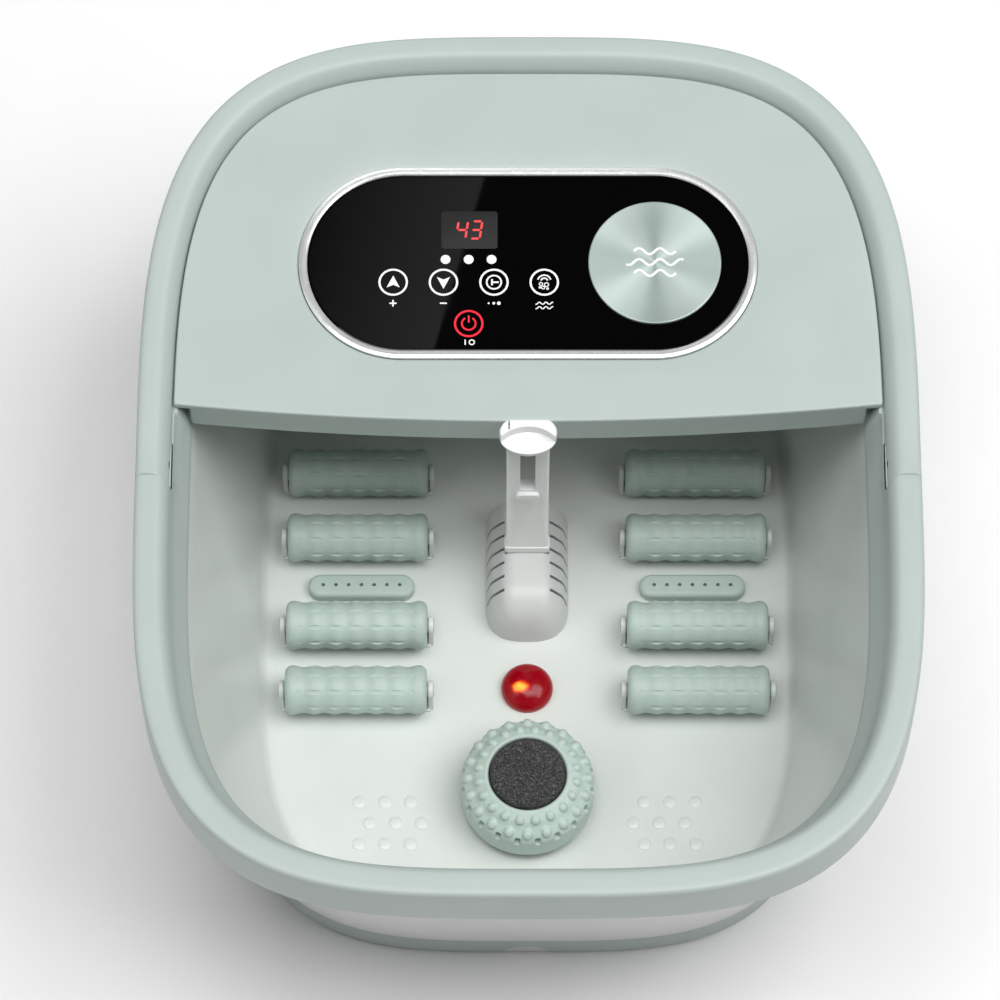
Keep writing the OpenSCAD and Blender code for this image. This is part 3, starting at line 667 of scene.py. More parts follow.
FRONT_SECTION = section_of([
    (0, FOOT), (0, 2.4), (0.55, 0.95), (2, 0.2), (5, 0), (10.4, 0.3), (13, 2), (14.9, 5), (16, 8.8),
    (17.4, 13.5), (23.2, FOOT), (21.8, FOOT), (15.6, 13), (13.6, 6.4), (10.8, 3), (3.4, 3), (2.4, 5.2),
    (2.4, FOOT),
])
REAR_SECTION = section_of([
    (0, FOOT), (0, 13.9), (0.5, 13.6), (3.2, 13.6), (7, 12.4), (10.6, 10.9), (13.2, 10), (15.9, 9.7),
    (16.2, 9.4), (17.6, 9.4), (23.2, FOOT), (21.8, FOOT), (16, 12), (13.6, 12.4), (11, 13), (4.5, 15.8),
    (2.4, 16), (2.4, FOOT),
])
FRONT_CORNERS = (0, 10, 11, 12, 13, 14, 15, 16, 17)
REAR_CORNERS = (0, 1, 2, 3, 7, 8, 9, 10, 11, 12, 13, 14, 15, 16, 17)
HANDLE_SECTION = section_of([
    (0.3, 13.1), (0, 12.7), (0, 2.6), (0.55, 1), (2, 0.2), (5, 0), (9.4, 0.5), (12.2, 2.4), (14.6, 5.8),
    (HANDLE_IN, 9.2), (11.8, 9.9), (4, 13.1),
])
HANDLE_CORNERS = (0, 1, 9, 10, 11)
PER = 5


def lowered(section):
    """The ledge without the step that the console lies on, for the part in front of it."""
    changed = {8: (16.2, RIM_Z - 10), 9: (17.3, RIM_Z - 13.5), 12: (15.4, RIM_Z - 12.8)}
    return [changed.get(i, p) for i, p in enumerate(section)]


def filled(section):
    """The hidden side closed down to the seal, beside the pivots."""
    hidden = [(x, FILL_Z) for x, z in section[13:-1]]
    return section[:12] + [(20.0, FILL_Z)] + hidden + [(section[-1][0], SKIRT_Z + 2)]


def section_ring(s, curve):
    """A section standing on the outline at s; what is above the skirt's foot follows the slope."""
    ring = []
    for inset, z in curve:
        x, y = oval(s, RIM, max(0.0, inset))
        ring.append((x, y, z + rise(y) * min(1.0, max(0.0, (z - SKIRT_Z - 5.0) / 2.0))))
    return ring


FRONT_CURVE = smooth(FRONT_SECTION, PER, FRONT_CORNERS)
REAR_CURVE = smooth(REAR_SECTION, PER, REAR_CORNERS)
FRONT_FILLED = smooth(filled(FRONT_SECTION), PER, FRONT_CORNERS)
REAR_FILLED = smooth(filled(lowered(REAR_SECTION)), PER, REAR_CORNERS)
REAR_OPEN = smooth(lowered(REAR_SECTION), PER, REAR_CORNERS)
BLOCK_FRONT, BLOCK_REAR, STEP_Y = -19.0, 16.0, 26.0


def rim_curve(s):
    y = oval(s)[1]
    if y < SEAM_Y:
        return FRONT_CURVE if y < BLOCK_FRONT - 0.01 else FRONT_FILLED
    return REAR_FILLED if y < BLOCK_REAR + 0.01 else REAR_OPEN if y < STEP_Y + 0.01 else REAR_CURVE


def rim_stations():
    step = s_at(SEAM_Y + 0.04)
    joints = [s_at(y) for y in (BLOCK_REAR, BLOCK_REAR + 1, STEP_Y, STEP_Y + 1)]
    rear = set(even(step, 2 - step, 190)) | set(joints) | {2 - s for s in joints}
    back = s_at(SEAM_Y - 0.04)
    front = set(even(2 - back, 4 + back, 180))
    for y in (BLOCK_FRONT, BLOCK_FRONT - 1):
        front |= {2 - s_at(y), 4 + s_at(y)}
    return sorted(rear) + sorted(front)


def pivot_disc(r, x0, x1, steps=96):
    return [
        prism(circle(PIVOT_Y, PIVOT_Z, r, steps), side * x0, side * x1, "yz") for side in (-1, 1)
    ]


rim = loft("rim_ring", [section_ring(s, rim_curve(s)) for s in rim_stations()], looped=True)
boolean(rim, pivot_disc(POCKET_R, HALF_W - HANDLE_IN - 0.5, HALF_W + 5))
lugs = []
for side in (-1, 1):
    x0, x1 = side * (HALF_W - LUG_IN - LUG_W), side * (HALF_W - LUG_IN)
    arch = circle(PIVOT_Y, PIVOT_Z, LUG_R, 24, 0, 180)
    foot = PIVOT_Z - POCKET_R - 1.5
    lugs.append(prism(arch + [(PIVOT_Y - LUG_R, foot), (PIVOT_Y + LUG_R, foot)], x0, x1, "yz"))
boolean(rim, lugs, "UNION")
bevelled(rim, 0.35, 2, 50)
finish_piece(rim, mint, replaces=["rim_frame"])

HANDLE_CURVE = smooth(HANDLE_SECTION, PER, HANDLE_CORNERS)
END_BACK, END_FRONT, END_UP = 12, 9.7, 0.5
start = s_at(PIVOT_Y - END_BACK)
handle = loft("handle_bar", [section_ring(s, HANDLE_CURVE) for s in even(start, 2 - start, 210)])
inner_x = HALF_W - HANDLE_IN
blocks = [
    box_data((min(side * (inner_x + 0.1), side * (HALF_W - 0.05)), PIVOT_Y - END_BACK, PIVOT_Z - END_BACK),
             (max(side * (inner_x + 0.1), side * (HALF_W - 0.05)), PIVOT_Y + END_FRONT, PIVOT_Z + END_UP))
    for side in (-1, 1)
]
boolean(handle, blocks, "UNION")
UNDER = 4.8
low_angle = -degrees(asin(UNDER / END_R))
arc = [
    (PIVOT_Y + END_R * cos(radians(a)), PIVOT_Z + END_R * sin(radians(a)))
    for a in np.linspace(low_angle, -270, 72)
]
OUT = 22.0
waste = arc + [
    (PIVOT_Y, PIVOT_Z + OUT), (PIVOT_Y - OUT, PIVOT_Z + OUT), (PIVOT_Y - OUT, PIVOT_Z - OUT),
    (PIVOT_Y + OUT, PIVOT_Z - OUT), (PIVOT_Y + OUT, PIVOT_Z - UNDER),
]
cuts = [prism(waste, side * (inner_x - 5), side * (HALF_W + 5), "yz") for side in (-1, 1)]
boolean(handle, cuts)
slots = []
for side in (-1, 1):
    xs = sorted((side * (HALF_W - LUG_IN - LUG_W - 0.4), side * (HALF_W - LUG_IN + 0.4)))
    slot_end = (xs[1], PIVOT_Y + LUG_R + 0.6, PIVOT_Z + LUG_R + 0.5)
    slots.append(box_data((xs[0], PIVOT_Y - 20, PIVOT_Z - 20), slot_end))
boolean(handle, slots)
boolean(handle, pivot_disc(2.06, HALF_W - 15, HALF_W - 2, 32))
bevelled(handle, 0.5, 3, 50)
finish_piece(handle, mint, "carry_handle", ["carry_handle"])

# ---------------------------------------------------------------- tub, outer wall and base

LINER_RINGS = 300
TUB_IN, FLANGE_IN = 20.4, 6.2
around = even(0, 4, LINER_RINGS)[:-1]


def level(outline, inset, z):
    return [(*oval(s, outline, inset), z) for s in around]


inner_wall = smooth_rings(
    [
        level(RIM, 19.2, FLANGE_Z), level(RIM, TUB_IN, FLANGE_Z - 1.5), level(FLOOR_WALL, 0, FLOOR_Z + 12),
        level(FLOOR_HIGH, 0, FLOOR_Z + 6), level(FLOOR_MID, 0, FLOOR_Z + 1.8), level(FLOOR_LOW, 0, FLOOR_Z),
    ],
    6, corners=(1,),
)
outer_side = [
    level(FLOOR_LOW, -WALL / 2, FLOOR_Z - WALL), level(FLOOR_MID, -WALL, FLOOR_Z),
    level(FLOOR_HIGH, -WALL, FLOOR_Z + 5), level(FLOOR_WALL, -WALL, FLOOR_Z + 12),
    level(RIM, TUB_IN - WALL, FLANGE_Z - WALL), level(RIM, FLANGE_IN, FLANGE_Z - WALL),
    level(RIM, FLANGE_IN, FLANGE_Z),
]
tub = loft("tub_liner", outer_side + inner_wall)
domes = []
DOME_R, DOME_H = 3.2, 0.7
DOME_X, DOME_Y, DOME_ROWS, DOME_GAP_X, DOME_GAP_Y, DOME_SHIFT = 66.0, -112.0, 3, 12, 10.5, 5
dome = [(DOME_R, FLOOR_Z - 0.8)]
dome += [(DOME_R * cos(a), FLOOR_Z + DOME_H * sin(a)) for a in np.linspace(0, pi / 2, 7)]
for side in (-1, 1):
    for i in range(DOME_ROWS):
        for j in range(DOME_ROWS):
            x = side * DOME_X + (j - (DOME_ROWS - 1) / 2) * DOME_GAP_X + (i % 2) * DOME_SHIFT * -side
            y = DOME_Y + (i - (DOME_ROWS - 1) / 2) * DOME_GAP_Y
            domes.append(loft_data(revolve_rings(dome, 28, (x, y, 0))))
boolean(tub, domes, "UNION")
finish_piece(tub, liner, replaces=["basin"])

PAN_TOP_Z, SHELL_MID_Z, SHELL_TOP_Z, SHELL_IN, LEDGE_IN = 18, 90, 173.5, 3.2, 9
shell_out = smooth_rings(
    [level(PAN_TOP, 0, PAN_TOP_Z), level(SHELL_MID, 0, SHELL_MID_Z),
     level(RIM, SHELL_IN, 166), level(RIM, SHELL_IN, SHELL_TOP_Z)],
    6, corners=(2,),
)
shell_in = [
    level(RIM, SHELL_IN + WALL, SHELL_TOP_Z), level(RIM, SHELL_IN + WALL, SKIRT_Z + 1.4),
    level(RIM, LEDGE_IN, SKIRT_Z + 1.4), level(RIM, LEDGE_IN, SKIRT_Z - 0.6),
    level(RIM, SHELL_IN + WALL, SKIRT_Z - 4), level(SHELL_MID, WALL, SHELL_MID_Z),
    level(PAN_TOP, WALL, PAN_TOP_Z),
]
shell = loft("outer_wall", shell_out + shell_in, looped=True)
GLAND = middle("cord_gland")
boolean(shell, [prism(circle(GLAND[0], GLAND[2], 7, 48), 150, 190, "xz")])
finish_piece(shell, white, replaces=["outer_shell"])

PAN_Z = span("base_pan")[0][2]
band_out = smooth_rings(
    [level(PAN_LOW, 0, PAN_Z), level(PAN_MID, -0.2, PAN_Z + 1.2), level(PAN_TOP, 0.3, PAN_Z + 4.5),
     level(PAN_TOP, 0, PAN_TOP_Z - 0.8), level(PAN_TOP, 0.4, PAN_TOP_Z)],
    3, corners=(3,),
)
band = loft("base_band", band_out + [
    level(PAN_TOP, WALL, PAN_TOP_Z), level(PAN_MID, WALL + 0.3, PAN_Z + 4.5),
    level(PAN_LOW, WALL + 1, PAN_Z + WALL),
])
FEET = [(x, y) for y in (-110, 115) for x in (-100, 100)]
SCREWS = [(118, -60), (-118, -60), (118, 60), (-118, 60), (60, -138), (-60, -138)]
PUMP = span("air_pump")[0] + np.array([4, 0, 0])
tools = [prism(circle(x, y, 4.1, 32), 0, 10) for x, y in FEET]
tools += [prism(circle(x, y, 3.2, 32), 0, PAN_Z + 1.2) for x, y in SCREWS]
tools += [prism(circle(x, y, 1.7, 24), PAN_Z + 1.1, 10) for x, y in SCREWS]
VENTS, VENT_PITCH, VENT_W, VENT_LONG = 8, 6, 2.4, 34
for i in range(VENTS):
    x, y = PUMP[0] + 8 + i * VENT_PITCH, PUMP[1] + 5
    tools.append(box_data((x, y, 0), (x + VENT_W, y + VENT_LONG, 10)))
tools.append(prism(circle(0, -0.2, 11.7, 96), -172.1, -132.1, "xz"))
boolean(band, tools)
bevelled(band, 0.3, 2, 55)
finish_piece(band, mint, replaces=["base_pan"])

SPOUT_LOW, SPOUT_HIGH = span("drain_spout")
spout = build("drain_insert", *prism(circle(0, 0.2, 11.2, 120), SPOUT_LOW[1], SPOUT_HIGH[1], "xz"))
boolean(spout, [box_data((-20, -170, SPOUT_LOW[2]), (20, -120, 30))], "INTERSECT")
boolean(spout, [prism(circle(0, -153, 3.2, 32), 0, 8), prism(circle(0, 7.6, 2.4, 32), -153, -131, "xz")])
bevelled(spout, 0.5, 3, 40)
finish_piece(spout, white, replaces=["drain_spout"])

# ---------------------------------------------------------------- console

COVER_H = -6.0
PLATE_T = 3.0
LIP_H = 18.5
LIP_Y, LIP_BOW, LIP_HALF = 20.9, 8.0, 157.0
COVER_IN, BOX_IN = 16.1, 23.0
BOTTOM_H = COVER_H - LIP_H
UNDER_H = COVER_H - PLATE_T
PANEL_LOW, PANEL_HIGH = span("control_panel")
PANEL_HALF = (PANEL_HIGH[0] - PANEL_LOW[0]) / 2
PANEL_R = 43.4
PANEL_S = 105.5
GLASS_H = COVER_H - 0.2
BEZEL_W = 4.0
REAR_N, CORNER_STEPS, LIP_N = 220, 8, 110


def console_plan(inset, back, corner=1.8):
    """Plan of the console: rear arc, rounded corner, bowed lip, rounded corner, always the same count."""
    first = s_at(LIP_Y + LIP_BOW + back)
    arc = [np.array(oval(s, RIM, inset)) for s in even(first, 2 - first, REAR_N)]
    end_x = arc[0][0]
    lip = [
        np.array((x, LIP_Y + back + LIP_BOW * (x / LIP_HALF) ** 2))
        for x in np.linspace(-end_x, end_x, LIP_N + 1)
    ]
    right, left = (arc[0] + lip[-1]) / 2, (arc[-1] + lip[0]) / 2

    def trimmed(line):
        lengths = lengths_of(line)
        at = np.linspace(corner, lengths[-1] - corner, len(line))
        return [np.array([np.interp(a, lengths, [p[k] for p in line]) for k in (0, 1)]) for a in at]

    arc, lip = trimmed(arc), trimmed(lip)

    def turn(a, tip, b):
        steps = np.linspace(0, 1, CORNER_STEPS + 2)[1:-1]
        return [(1 - u) ** 2 * a + 2 * u * (1 - u) * tip + u * u * b for u in steps]

    return arc + turn(arc[-1], left, lip[0]) + lip + turn(lip[-1], right, arc[0])


def stadium_point(dx, ds, half, r):
    """Where a ray from the middle in direction (dx, ds) meets a stadium outline."""
    straight = half - r
    if abs(ds) > 1e-9:
        k = r / abs(ds)
        if abs(dx * k) <= straight:
            return dx * k, ds * k
    cx = copysign(straight, dx)
    a = dx * dx + ds * ds
    b = -2 * dx * cx
    c = cx * cx - r * r
    k = (-b + sqrt(b * b - 4 * a * c)) / (2 * a)
    return dx * k, ds * k


def slope_s(y, h):
    """Distance along the slope of the point at y and h."""
    return (y - SEAM_Y + h * sin(TILT)) / cos(TILT)


def plan_ring(inset, back, h):
    return [(p[0], p[1], slope_z(p[1], h)) for p in console_plan(inset, back)]


outer_plan = console_plan(COVER_IN, 0)
rays = [(p[0], slope_s(p[1], COVER_H) - PANEL_S) for p in outer_plan]


def panel_ring(grow, h):
    """Ring round the panel, grow outside the glass, at height h of the console."""
    ring = []
    for dx, ds in rays:
        x, s = stadium_point(dx, ds, PANEL_HALF + grow, PANEL_R + grow)
        ring.append(on_slope(x, s + PANEL_S, h))
    return ring


def between(ring_a, ring_b, u, h_shift=0.0):
    return [
        (a[0] + (b[0] - a[0]) * u,
         a[1] + (b[1] - a[1]) * u,
         a[2] + (b[2] - a[2]) * u + h_shift)
        for a, b in zip(ring_a, ring_b)
    ]


EDGE = 0.9
edge_curve = [
    (EDGE * (1 - sin(a)), -EDGE * (1 - cos(a))) for a in np.linspace(0, pi / 2, 8)
]
HOLE = BEZEL_W + 0.1
console_rings = [
    panel_ring(HOLE, UNDER_H), panel_ring(HOLE, COVER_H - 1.6), panel_ring(HOLE + 0.25, COVER_H - 1.15)
]
flat_inner = panel_ring(HOLE + 0.8, COVER_H)
flat_outer = plan_ring(COVER_IN + EDGE, EDGE, COVER_H)
DISH = 1.0
for u in (0, 0.03, 0.06, 0.1, 0.14, 0.18, 0.23, 0.3, 0.4, 0.55, 0.75, 0.95):
    console_rings.append(between(flat_inner, flat_outer, u, -DISH * max(0.0, 1 - u / 0.3) ** 2.2))
for inset, drop in edge_curve:
    console_rings.append(plan_ring(COVER_IN + inset, inset, COVER_H + drop))
console_rings += [
    plan_ring(COVER_IN, 0, UNDER_H), plan_ring(BOX_IN, 0, UNDER_H - 0.02),
    plan_ring(BOX_IN, 0.2, COVER_H - LIP_H * 0.6), plan_ring(BOX_IN, 0.4, BOTTOM_H + 0.3),
    plan_ring(BOX_IN + 0.3, 0.7, BOTTOM_H), plan_ring(BOX_IN + WALL, WALL, BOTTOM_H),
    plan_ring(BOX_IN + WALL, WALL, UNDER_H),
]
console = loft("console_top", console_rings, looped=True, angle=35)
finish_piece(console, mint, replaces=["console_cover"], angle=35)


def stadium_line(half, r, steps=64, straight_steps=40):
    """Closed stadium outline with even points on its straight runs."""
    straight = half - r
    arc = np.linspace(0, pi, steps, endpoint=False)
    line = [(straight + r * sin(a), -r * cos(a)) for a in arc]
    line += [(x, r) for x in np.linspace(straight, -straight, straight_steps, endpoint=False)]
    line += [(-straight - r * sin(a), r * cos(a)) for a in arc]
    line += [(x, -r) for x in np.linspace(-straight, straight, straight_steps, endpoint=False)]
    return line


def stadium_ring(grow, h):
    return [on_slope(x, PANEL_S + s, h) for x, s in stadium_line(PANEL_HALF + grow, PANEL_R + grow)]


PANEL_T = 2.2
bezel_h = COVER_H + 0.5
bezel_profile = rounded(
    [(0.1, COVER_H - PANEL_T), (0.1, GLASS_H + 0.12), (1.0, bezel_h - 0.12), (2.3, bezel_h),
     (BEZEL_W, COVER_H + 0.1), (BEZEL_W, COVER_H - PANEL_T)],
    [0, 0.15, 0.5, 0.5, 0.35, 0], 4,
)
bezel = loft("bezel_ring", [stadium_ring(g, h) for g, h in bezel_profile], looped=True, angle=50)
finish_piece(bezel, chrome, replaces=["panel_bezel"], angle=50)

DISPLAY = middle("display_window")
DISPLAY_S = slope_s(DISPLAY[1], COVER_H - 0.4)
DISPLAY_HALF = (12.9, 9.4)
glass = loft(
    "glass_panel",
    [stadium_ring(0, COVER_H - PANEL_T), stadium_ring(0, GLASS_H - 0.3), stadium_ring(-0.12, GLASS_H - 0.06),
     stadium_ring(-0.4, GLASS_H), stadium_ring(-0.9, GLASS_H)],
)


def slope_prism(points, h0, h1, x0=0.0, s0=0.0):
    """Prism standing on the console's slope; points are (x, s)."""
    verts, faces = prism([(x0 + p[0], s0 + p[1]) for p in points], h0, h1)
    return [on_slope(*v) for v in verts], faces


def round_rect(half_x, half_s, r):
    corners = [(-half_x, -half_s), (half_x, -half_s), (half_x, half_s), (-half_x, half_s)]
    return [tuple(p) for p in rounded(corners, r, 6)]


window_shape = round_rect(*DISPLAY_HALF, 1.6)
boolean(glass, [slope_prism(window_shape, GLASS_H - 0.5, GLASS_H + 1, DISPLAY[0], DISPLAY_S)])
finish_piece(glass, gloss, replaces=["control_panel"])
pane_shape = round_rect(DISPLAY_HALF[0] - 0.06, DISPLAY_HALF[1] - 0.06, 1.55)
pane = build("display_pane", *slope_prism(pane_shape, GLASS_H - 0.49, GLASS_H - 0.05, DISPLAY[0], DISPLAY_S))
bevelled(pane, 0.05, 2, 50)
finish_piece(pane, tinted, replaces=["display_window"])

# ---------------------------------------------------------------- marks on the glass

PRINT_LOW, PRINT_TOP = GLASS_H - 0.02, GLASS_H + 0.05


def ring_data(x, s, r, width, steps=64, *arc):
    """Flat ring on the slope, or an arc of it from one angle to another."""
    low, high = r - width / 2, r + width / 2
    section = ((low, PRINT_LOW), (high, PRINT_LOW), (high, PRINT_TOP), (low, PRINT_TOP))
    rings = [
        [on_slope(x + q * cos(a), s + q * sin(a), h) for q, h in section]
        for a in sweep(steps, *arc)
    ]
    return loft_data(rings, looped=not arc)


def stroke(x, s, points, width, h0=PRINT_LOW, h1=PRINT_TOP):
    """Straight strokes with square ends between successive points."""
    parts = []
    for (ax, ay), (bx, by) in zip(points, points[1:]):
        size = hypot(bx - ax, by - ay)
        ux, uy = (bx - ax) / size, (by - ay) / size
        px, py = -uy * width / 2, ux * width / 2
        ends = [(ax + px, ay + py), (ax - px, ay - py), (bx - px, by - py), (bx + px, by + py)]
        parts.append(slope_prism(ends, h0, h1, x, s))
    return parts


KEY_XS = (-61.1, -38.3, -15.4, 7.4)
KEY_S = 95.7
POWER = (-26.8, 75.3)
LABEL_DROP = 10.4
white_marks, red_marks = [], []
for x in KEY_XS:
    white_marks.append(ring_data(x, KEY_S, 6.2, 0.95))
arrow = [(0, 3.3), (3.0, -2.6), (0, -1.3), (-3.0, -2.6)]
white_marks.append(slope_prism(arrow, PRINT_LOW, PRINT_TOP, KEY_XS[0], KEY_S))
white_marks.append(slope_prism([(-a, -b) for a, b in arrow], PRINT_LOW, PRINT_TOP, KEY_XS[1], KEY_S))
white_marks.append(ring_data(KEY_XS[2], KEY_S, 3.3, 0.75, 48))
white_marks += stroke(KEY_XS[2], KEY_S, [(-0.9, 1.5), (-0.9, -1.5)], 0.8)
white_marks += stroke(KEY_XS[2], KEY_S, [(-0.5, 0), (2.2, 0)], 0.8)
for r in (1.5, 3.0):
    white_marks.append(ring_data(KEY_XS[3], KEY_S + 0.5, r, 0.7, 24, 15, 165))
BUBBLES = ((-1.5, -0.9, 0.75), (1.0, -1.2, 0.95), (-0.5, -2.7, 0.7), (1.5, -3.2, 0.4), (-2.0, -2.6, 0.35))
for dx, ds, r in BUBBLES:
    white_marks.append(ring_data(KEY_XS[3] + dx, KEY_S + ds, r, 0.45, 20))
red_marks.append(ring_data(*POWER, 6.2, 0.95))
red_marks.append(ring_data(*POWER, 3.1, 0.8, 40, 122, 418))
red_marks += stroke(*POWER, [(0, 0.5), (0, 4.0)], 0.8)
# plain signs under the keys
label = KEY_S - LABEL_DROP
level_bar = [(-1.6, 0), (1.6, 0)]
for x, points in zip((KEY_XS[0],) * 3 + (KEY_XS[1],), (
    level_bar, [(0, -1.6), (0, -0.35)], [(0, 0.35), (0, 1.6)], level_bar,
)):
    white_marks += stroke(x, label, points, 0.7)
for i, size in enumerate((0.45, 0.65, 0.85)):
    dot = circle(0, 0, size, 20)
    white_marks.append(slope_prism(dot, PRINT_LOW, PRINT_TOP, KEY_XS[2] - 2.4 + 2.3 * i, label))
for ds in (0.0, -2.2):
    wave = [(x / 10, 0.55 * sin(x / 10 * 2.1)) for x in range(-40, 41, 4)]
    white_marks += stroke(KEY_XS[3], label + ds, wave, 0.55)
white_marks += stroke(POWER[0] - 1.6, POWER[1] - 9.2, [(0, -1.3), (0, 1.3)], 0.6)
white_marks.append(ring_data(POWER[0] + 1.4, POWER[1] - 9.2, 1.15, 0.55, 24))
print_white = build("key_marks", *merged(white_marks))
finish_piece(print_white, white_print)
print_red = build("power_mark", *merged(red_marks))
finish_piece(print_red, red_print)

SEGMENTS = {
    "a": ((-1, 2), (1, 2)), "b": ((1, 2), (1, 0)), "c": ((1, 0), (1, -2)), "d": ((-1, -2), (1, -2)),
    "e": ((-1, 0), (-1, -2)), "f": ((-1, 2), (-1, 0)), "g": ((-1, 0), (1, 0)),
}
DIGIT_W, DIGIT_H, LEAN = 4.3, 8.6, 0.14
digits = []
for number, lit in enumerate(("fgbc", "abgcd")):
    x0 = DISPLAY[0] - 3.35 + 6.5 * number
    for key in lit:
        (ax, ay), (bx, by) = SEGMENTS[key]
        a = np.array((ax * DIGIT_W / 2, ay * DIGIT_H / 4))
        b = np.array((bx * DIGIT_W / 2, by * DIGIT_H / 4))
        d = (b - a) / np.linalg.norm(b - a)
        a, b = a + d * 0.28, b - d * 0.28
        side = np.array((-d[1], d[0])) * 0.5
        shape = [a, a + d * 0.5 + side, b - d * 0.5 + side, b, b - d * 0.5 - side, a + d * 0.5 - side]
        shape = [(p[0] + p[1] * LEAN, p[1]) for p in shape]
        digits.append(slope_prism(shape, GLASS_H - 0.1, GLASS_H - 0.01, x0, DISPLAY_S))
digits = build("display_digits", *merged(digits))
finish_piece(digits, red_digit)

LED_XS, LED_S = (-37.4, -26.9, -16.5), 107.0
LED_PROFILE = ((2.25, -2.0), (2.25, 0.02), (2.1, 0.12), (1.2, 0.2), (1e-3, 0.22))
round_angles = np.linspace(0, 2 * pi, 40, endpoint=False)
dots = []
for x in LED_XS:
    dots.append(loft_data([
        [on_slope(x + r * cos(a), LED_S + r * sin(a), GLASS_H + h) for a in round_angles]
        for r, h in LED_PROFILE
    ]))
dots = build("status_dots", *merged(dots))
finish_piece(dots, white_print)

# metal disc, in its own frame so that its grain turns about its middle
DISC = middle("badge_disc")
DISC_R = (span("badge_disc")[1][0] - span("badge_disc")[0][0]) / 2
DISC_S = slope_s(DISC[1], COVER_H)
DISC_T = 0.84
disc_profile = [
    (DISC_R, 0.0), (DISC_R, 0.55), (DISC_R - 0.15, 0.78), (DISC_R - 0.45, 0.9), (DISC_R - 0.9, 0.86),
    (DISC_R - 1.1, DISC_T), (DISC_R * 0.66, DISC_T), (DISC_R * 0.33, DISC_T), (0, DISC_T),
]
disc = turned("metal_disc", disc_profile, 160)
disc.rotation_euler = (TILT, 0, 0)
disc.location = Vector(on_slope(DISC[0], DISC_S, GLASS_H)) * MM
finish_piece(disc, spun, replaces=["badge_disc"])
emblem = []
for row, width in enumerate((9.5, 13.0, 9.5)):
    wave = [(x, 1.5 * sin(x * 0.66)) for x in np.linspace(-width, width, 40)]
    emblem += stroke(DISC[0], DISC_S + 5.4 - 5.4 * row, wave, 1.15, GLASS_H + 0.8, GLASS_H + 0.98)
emblem = build("disc_waves", *merged(emblem))
finish_piece(emblem, white_print)

# ---------------------------------------------------------------- rollers and bubble bars

SHOULDER, WAVES, GROOVES = 3.4, 6, 9


def roller_profile(radius, half, tip):
    """Turned roller: shallow waves along its length, rounded shoulders and stub pins."""
    line = [(0, -tip), (3.1, -tip), (3.5, -tip + 0.4), (3.5, -half), (7.6, -half)]
    turns = np.linspace(0.15, pi / 2, 8)
    bend = [(SHOULDER * (1 - sin(a)), SHOULDER * (1 - cos(a))) for a in turns]
    line += [(radius - inset, -half + along) for inset, along in bend]
    for x in np.linspace(-half + 4, half - 4, 81):
        line.append((radius - 0.45 + 0.45 * cos(2 * pi * WAVES * x / (2 * half - 8)), x))
    line += [(radius - inset, half - along) for inset, along in reversed(bend)]
    return line + [(7.6, half), (3.5, half), (3.5, tip - 0.4), (3.1, tip), (0, tip)]


for name in [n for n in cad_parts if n.startswith("roller_") and "brackets" not in n]:
    low, high = span(name)
    radius = (high[2] - low[2]) / 2
    centre = (low + high) / 2
    tip = (high[0] - low[0]) / 2
    piece = turned(name + "_body", roller_profile(radius, tip - 3.2, tip), 72, centre, "x")
    grooves = []
    for k in range(GROOVES):
        a = 2 * pi * k / GROOVES
        cy, cz = centre[1] + (radius + 0.5) * cos(a), centre[2] + (radius + 0.5) * sin(a)
        grooves.append(prism(circle(cy, cz, 1.3, 14), centre[0] - tip + 9, centre[0] + tip - 9, "yz"))
    boolean(piece, grooves)
    finish_piece(piece, mint_soft, name + "_body", [name])

BAR_SOFT = 2.2
for side in ("left", "right"):
    node = "bubble_bar_" + side
    low, high = span(node)
    centre = (low + high) / 2
    half, r, height = (high[0] - low[0]) / 2, (high[1] - low[1]) / 2, high[2] - low[2]

    def bar_ring(grow, z):
        line = stadium_line(half + grow, r + grow, 24, 12)
        return [(centre[0] + x, centre[1] + y, low[2] + z) for x, y in line]

    rings = [bar_ring(0, 0), bar_ring(0, height - BAR_SOFT)]
    rings += [
        bar_ring(-BAR_SOFT * (1 - cos(a)), height - BAR_SOFT + BAR_SOFT * sin(a))
        for a in np.linspace(0.2, pi / 2, 6)
    ]
    bar = loft(node + "_top", rings)
    air_holes = [circle(centre[0] + i * 6, centre[1], 0.9, 20) for i in range(-3, 4)]
    boolean(bar, [prism(hole, low[2] + 3, high[2] + 2) for hole in air_holes])
    finish_piece(bar, mint_soft, replaces=[node])

# ---------------------------------------------------------------- vent ridge, post and lens

RIDGE_LOW, RIDGE_HIGH = span("heater_cover")
STOP_Y = middle("drain_plug")[1]
ridge_half = RIDGE_HIGH[0]
ridge_top = RIDGE_HIGH[2] - FLOOR_Z
NOSE_RUN, PLAN_N, SIDE_N = 19.0, 2.7, 2.1


def ridge_body(name, shrink):
    """Vented cover: rounded section that closes in a smooth nose; shrink moves every side inward."""
    half = ridge_half - shrink
    shape = [
        (-half, -0.5), (-half, 2), (-17 + shrink, 16), (-10, ridge_top - shrink), (10, ridge_top - shrink),
        (17 - shrink, 16), (half, 2), (half, -0.5),
    ]
    shape = rounded(shape, [0, 2, 16, 9, 9, 16, 2, 0], 10)
    low, high = RIDGE_LOW[1] + shrink, RIDGE_HIGH[1] - shrink
    start = low + NOSE_RUN
    stations = [(high, 0.0)] + [(y, 0.0) for y in np.linspace(high - 3, start, 5)]
    stations += [(start - NOSE_RUN * u, u) for u in np.sin(np.linspace(0.06, pi / 2 - 0.02, 26))]
    rings = []
    for y, u in stations:
        wide, tall = (1 - u**PLAN_N) ** (1 / PLAN_N), (1 - u**SIDE_N) ** (1 / SIDE_N)
        rings.append([(x * wide, y, FLOOR_Z + (z * tall if z > 0 else z)) for x, z in shape])
    return loft(name, rings)


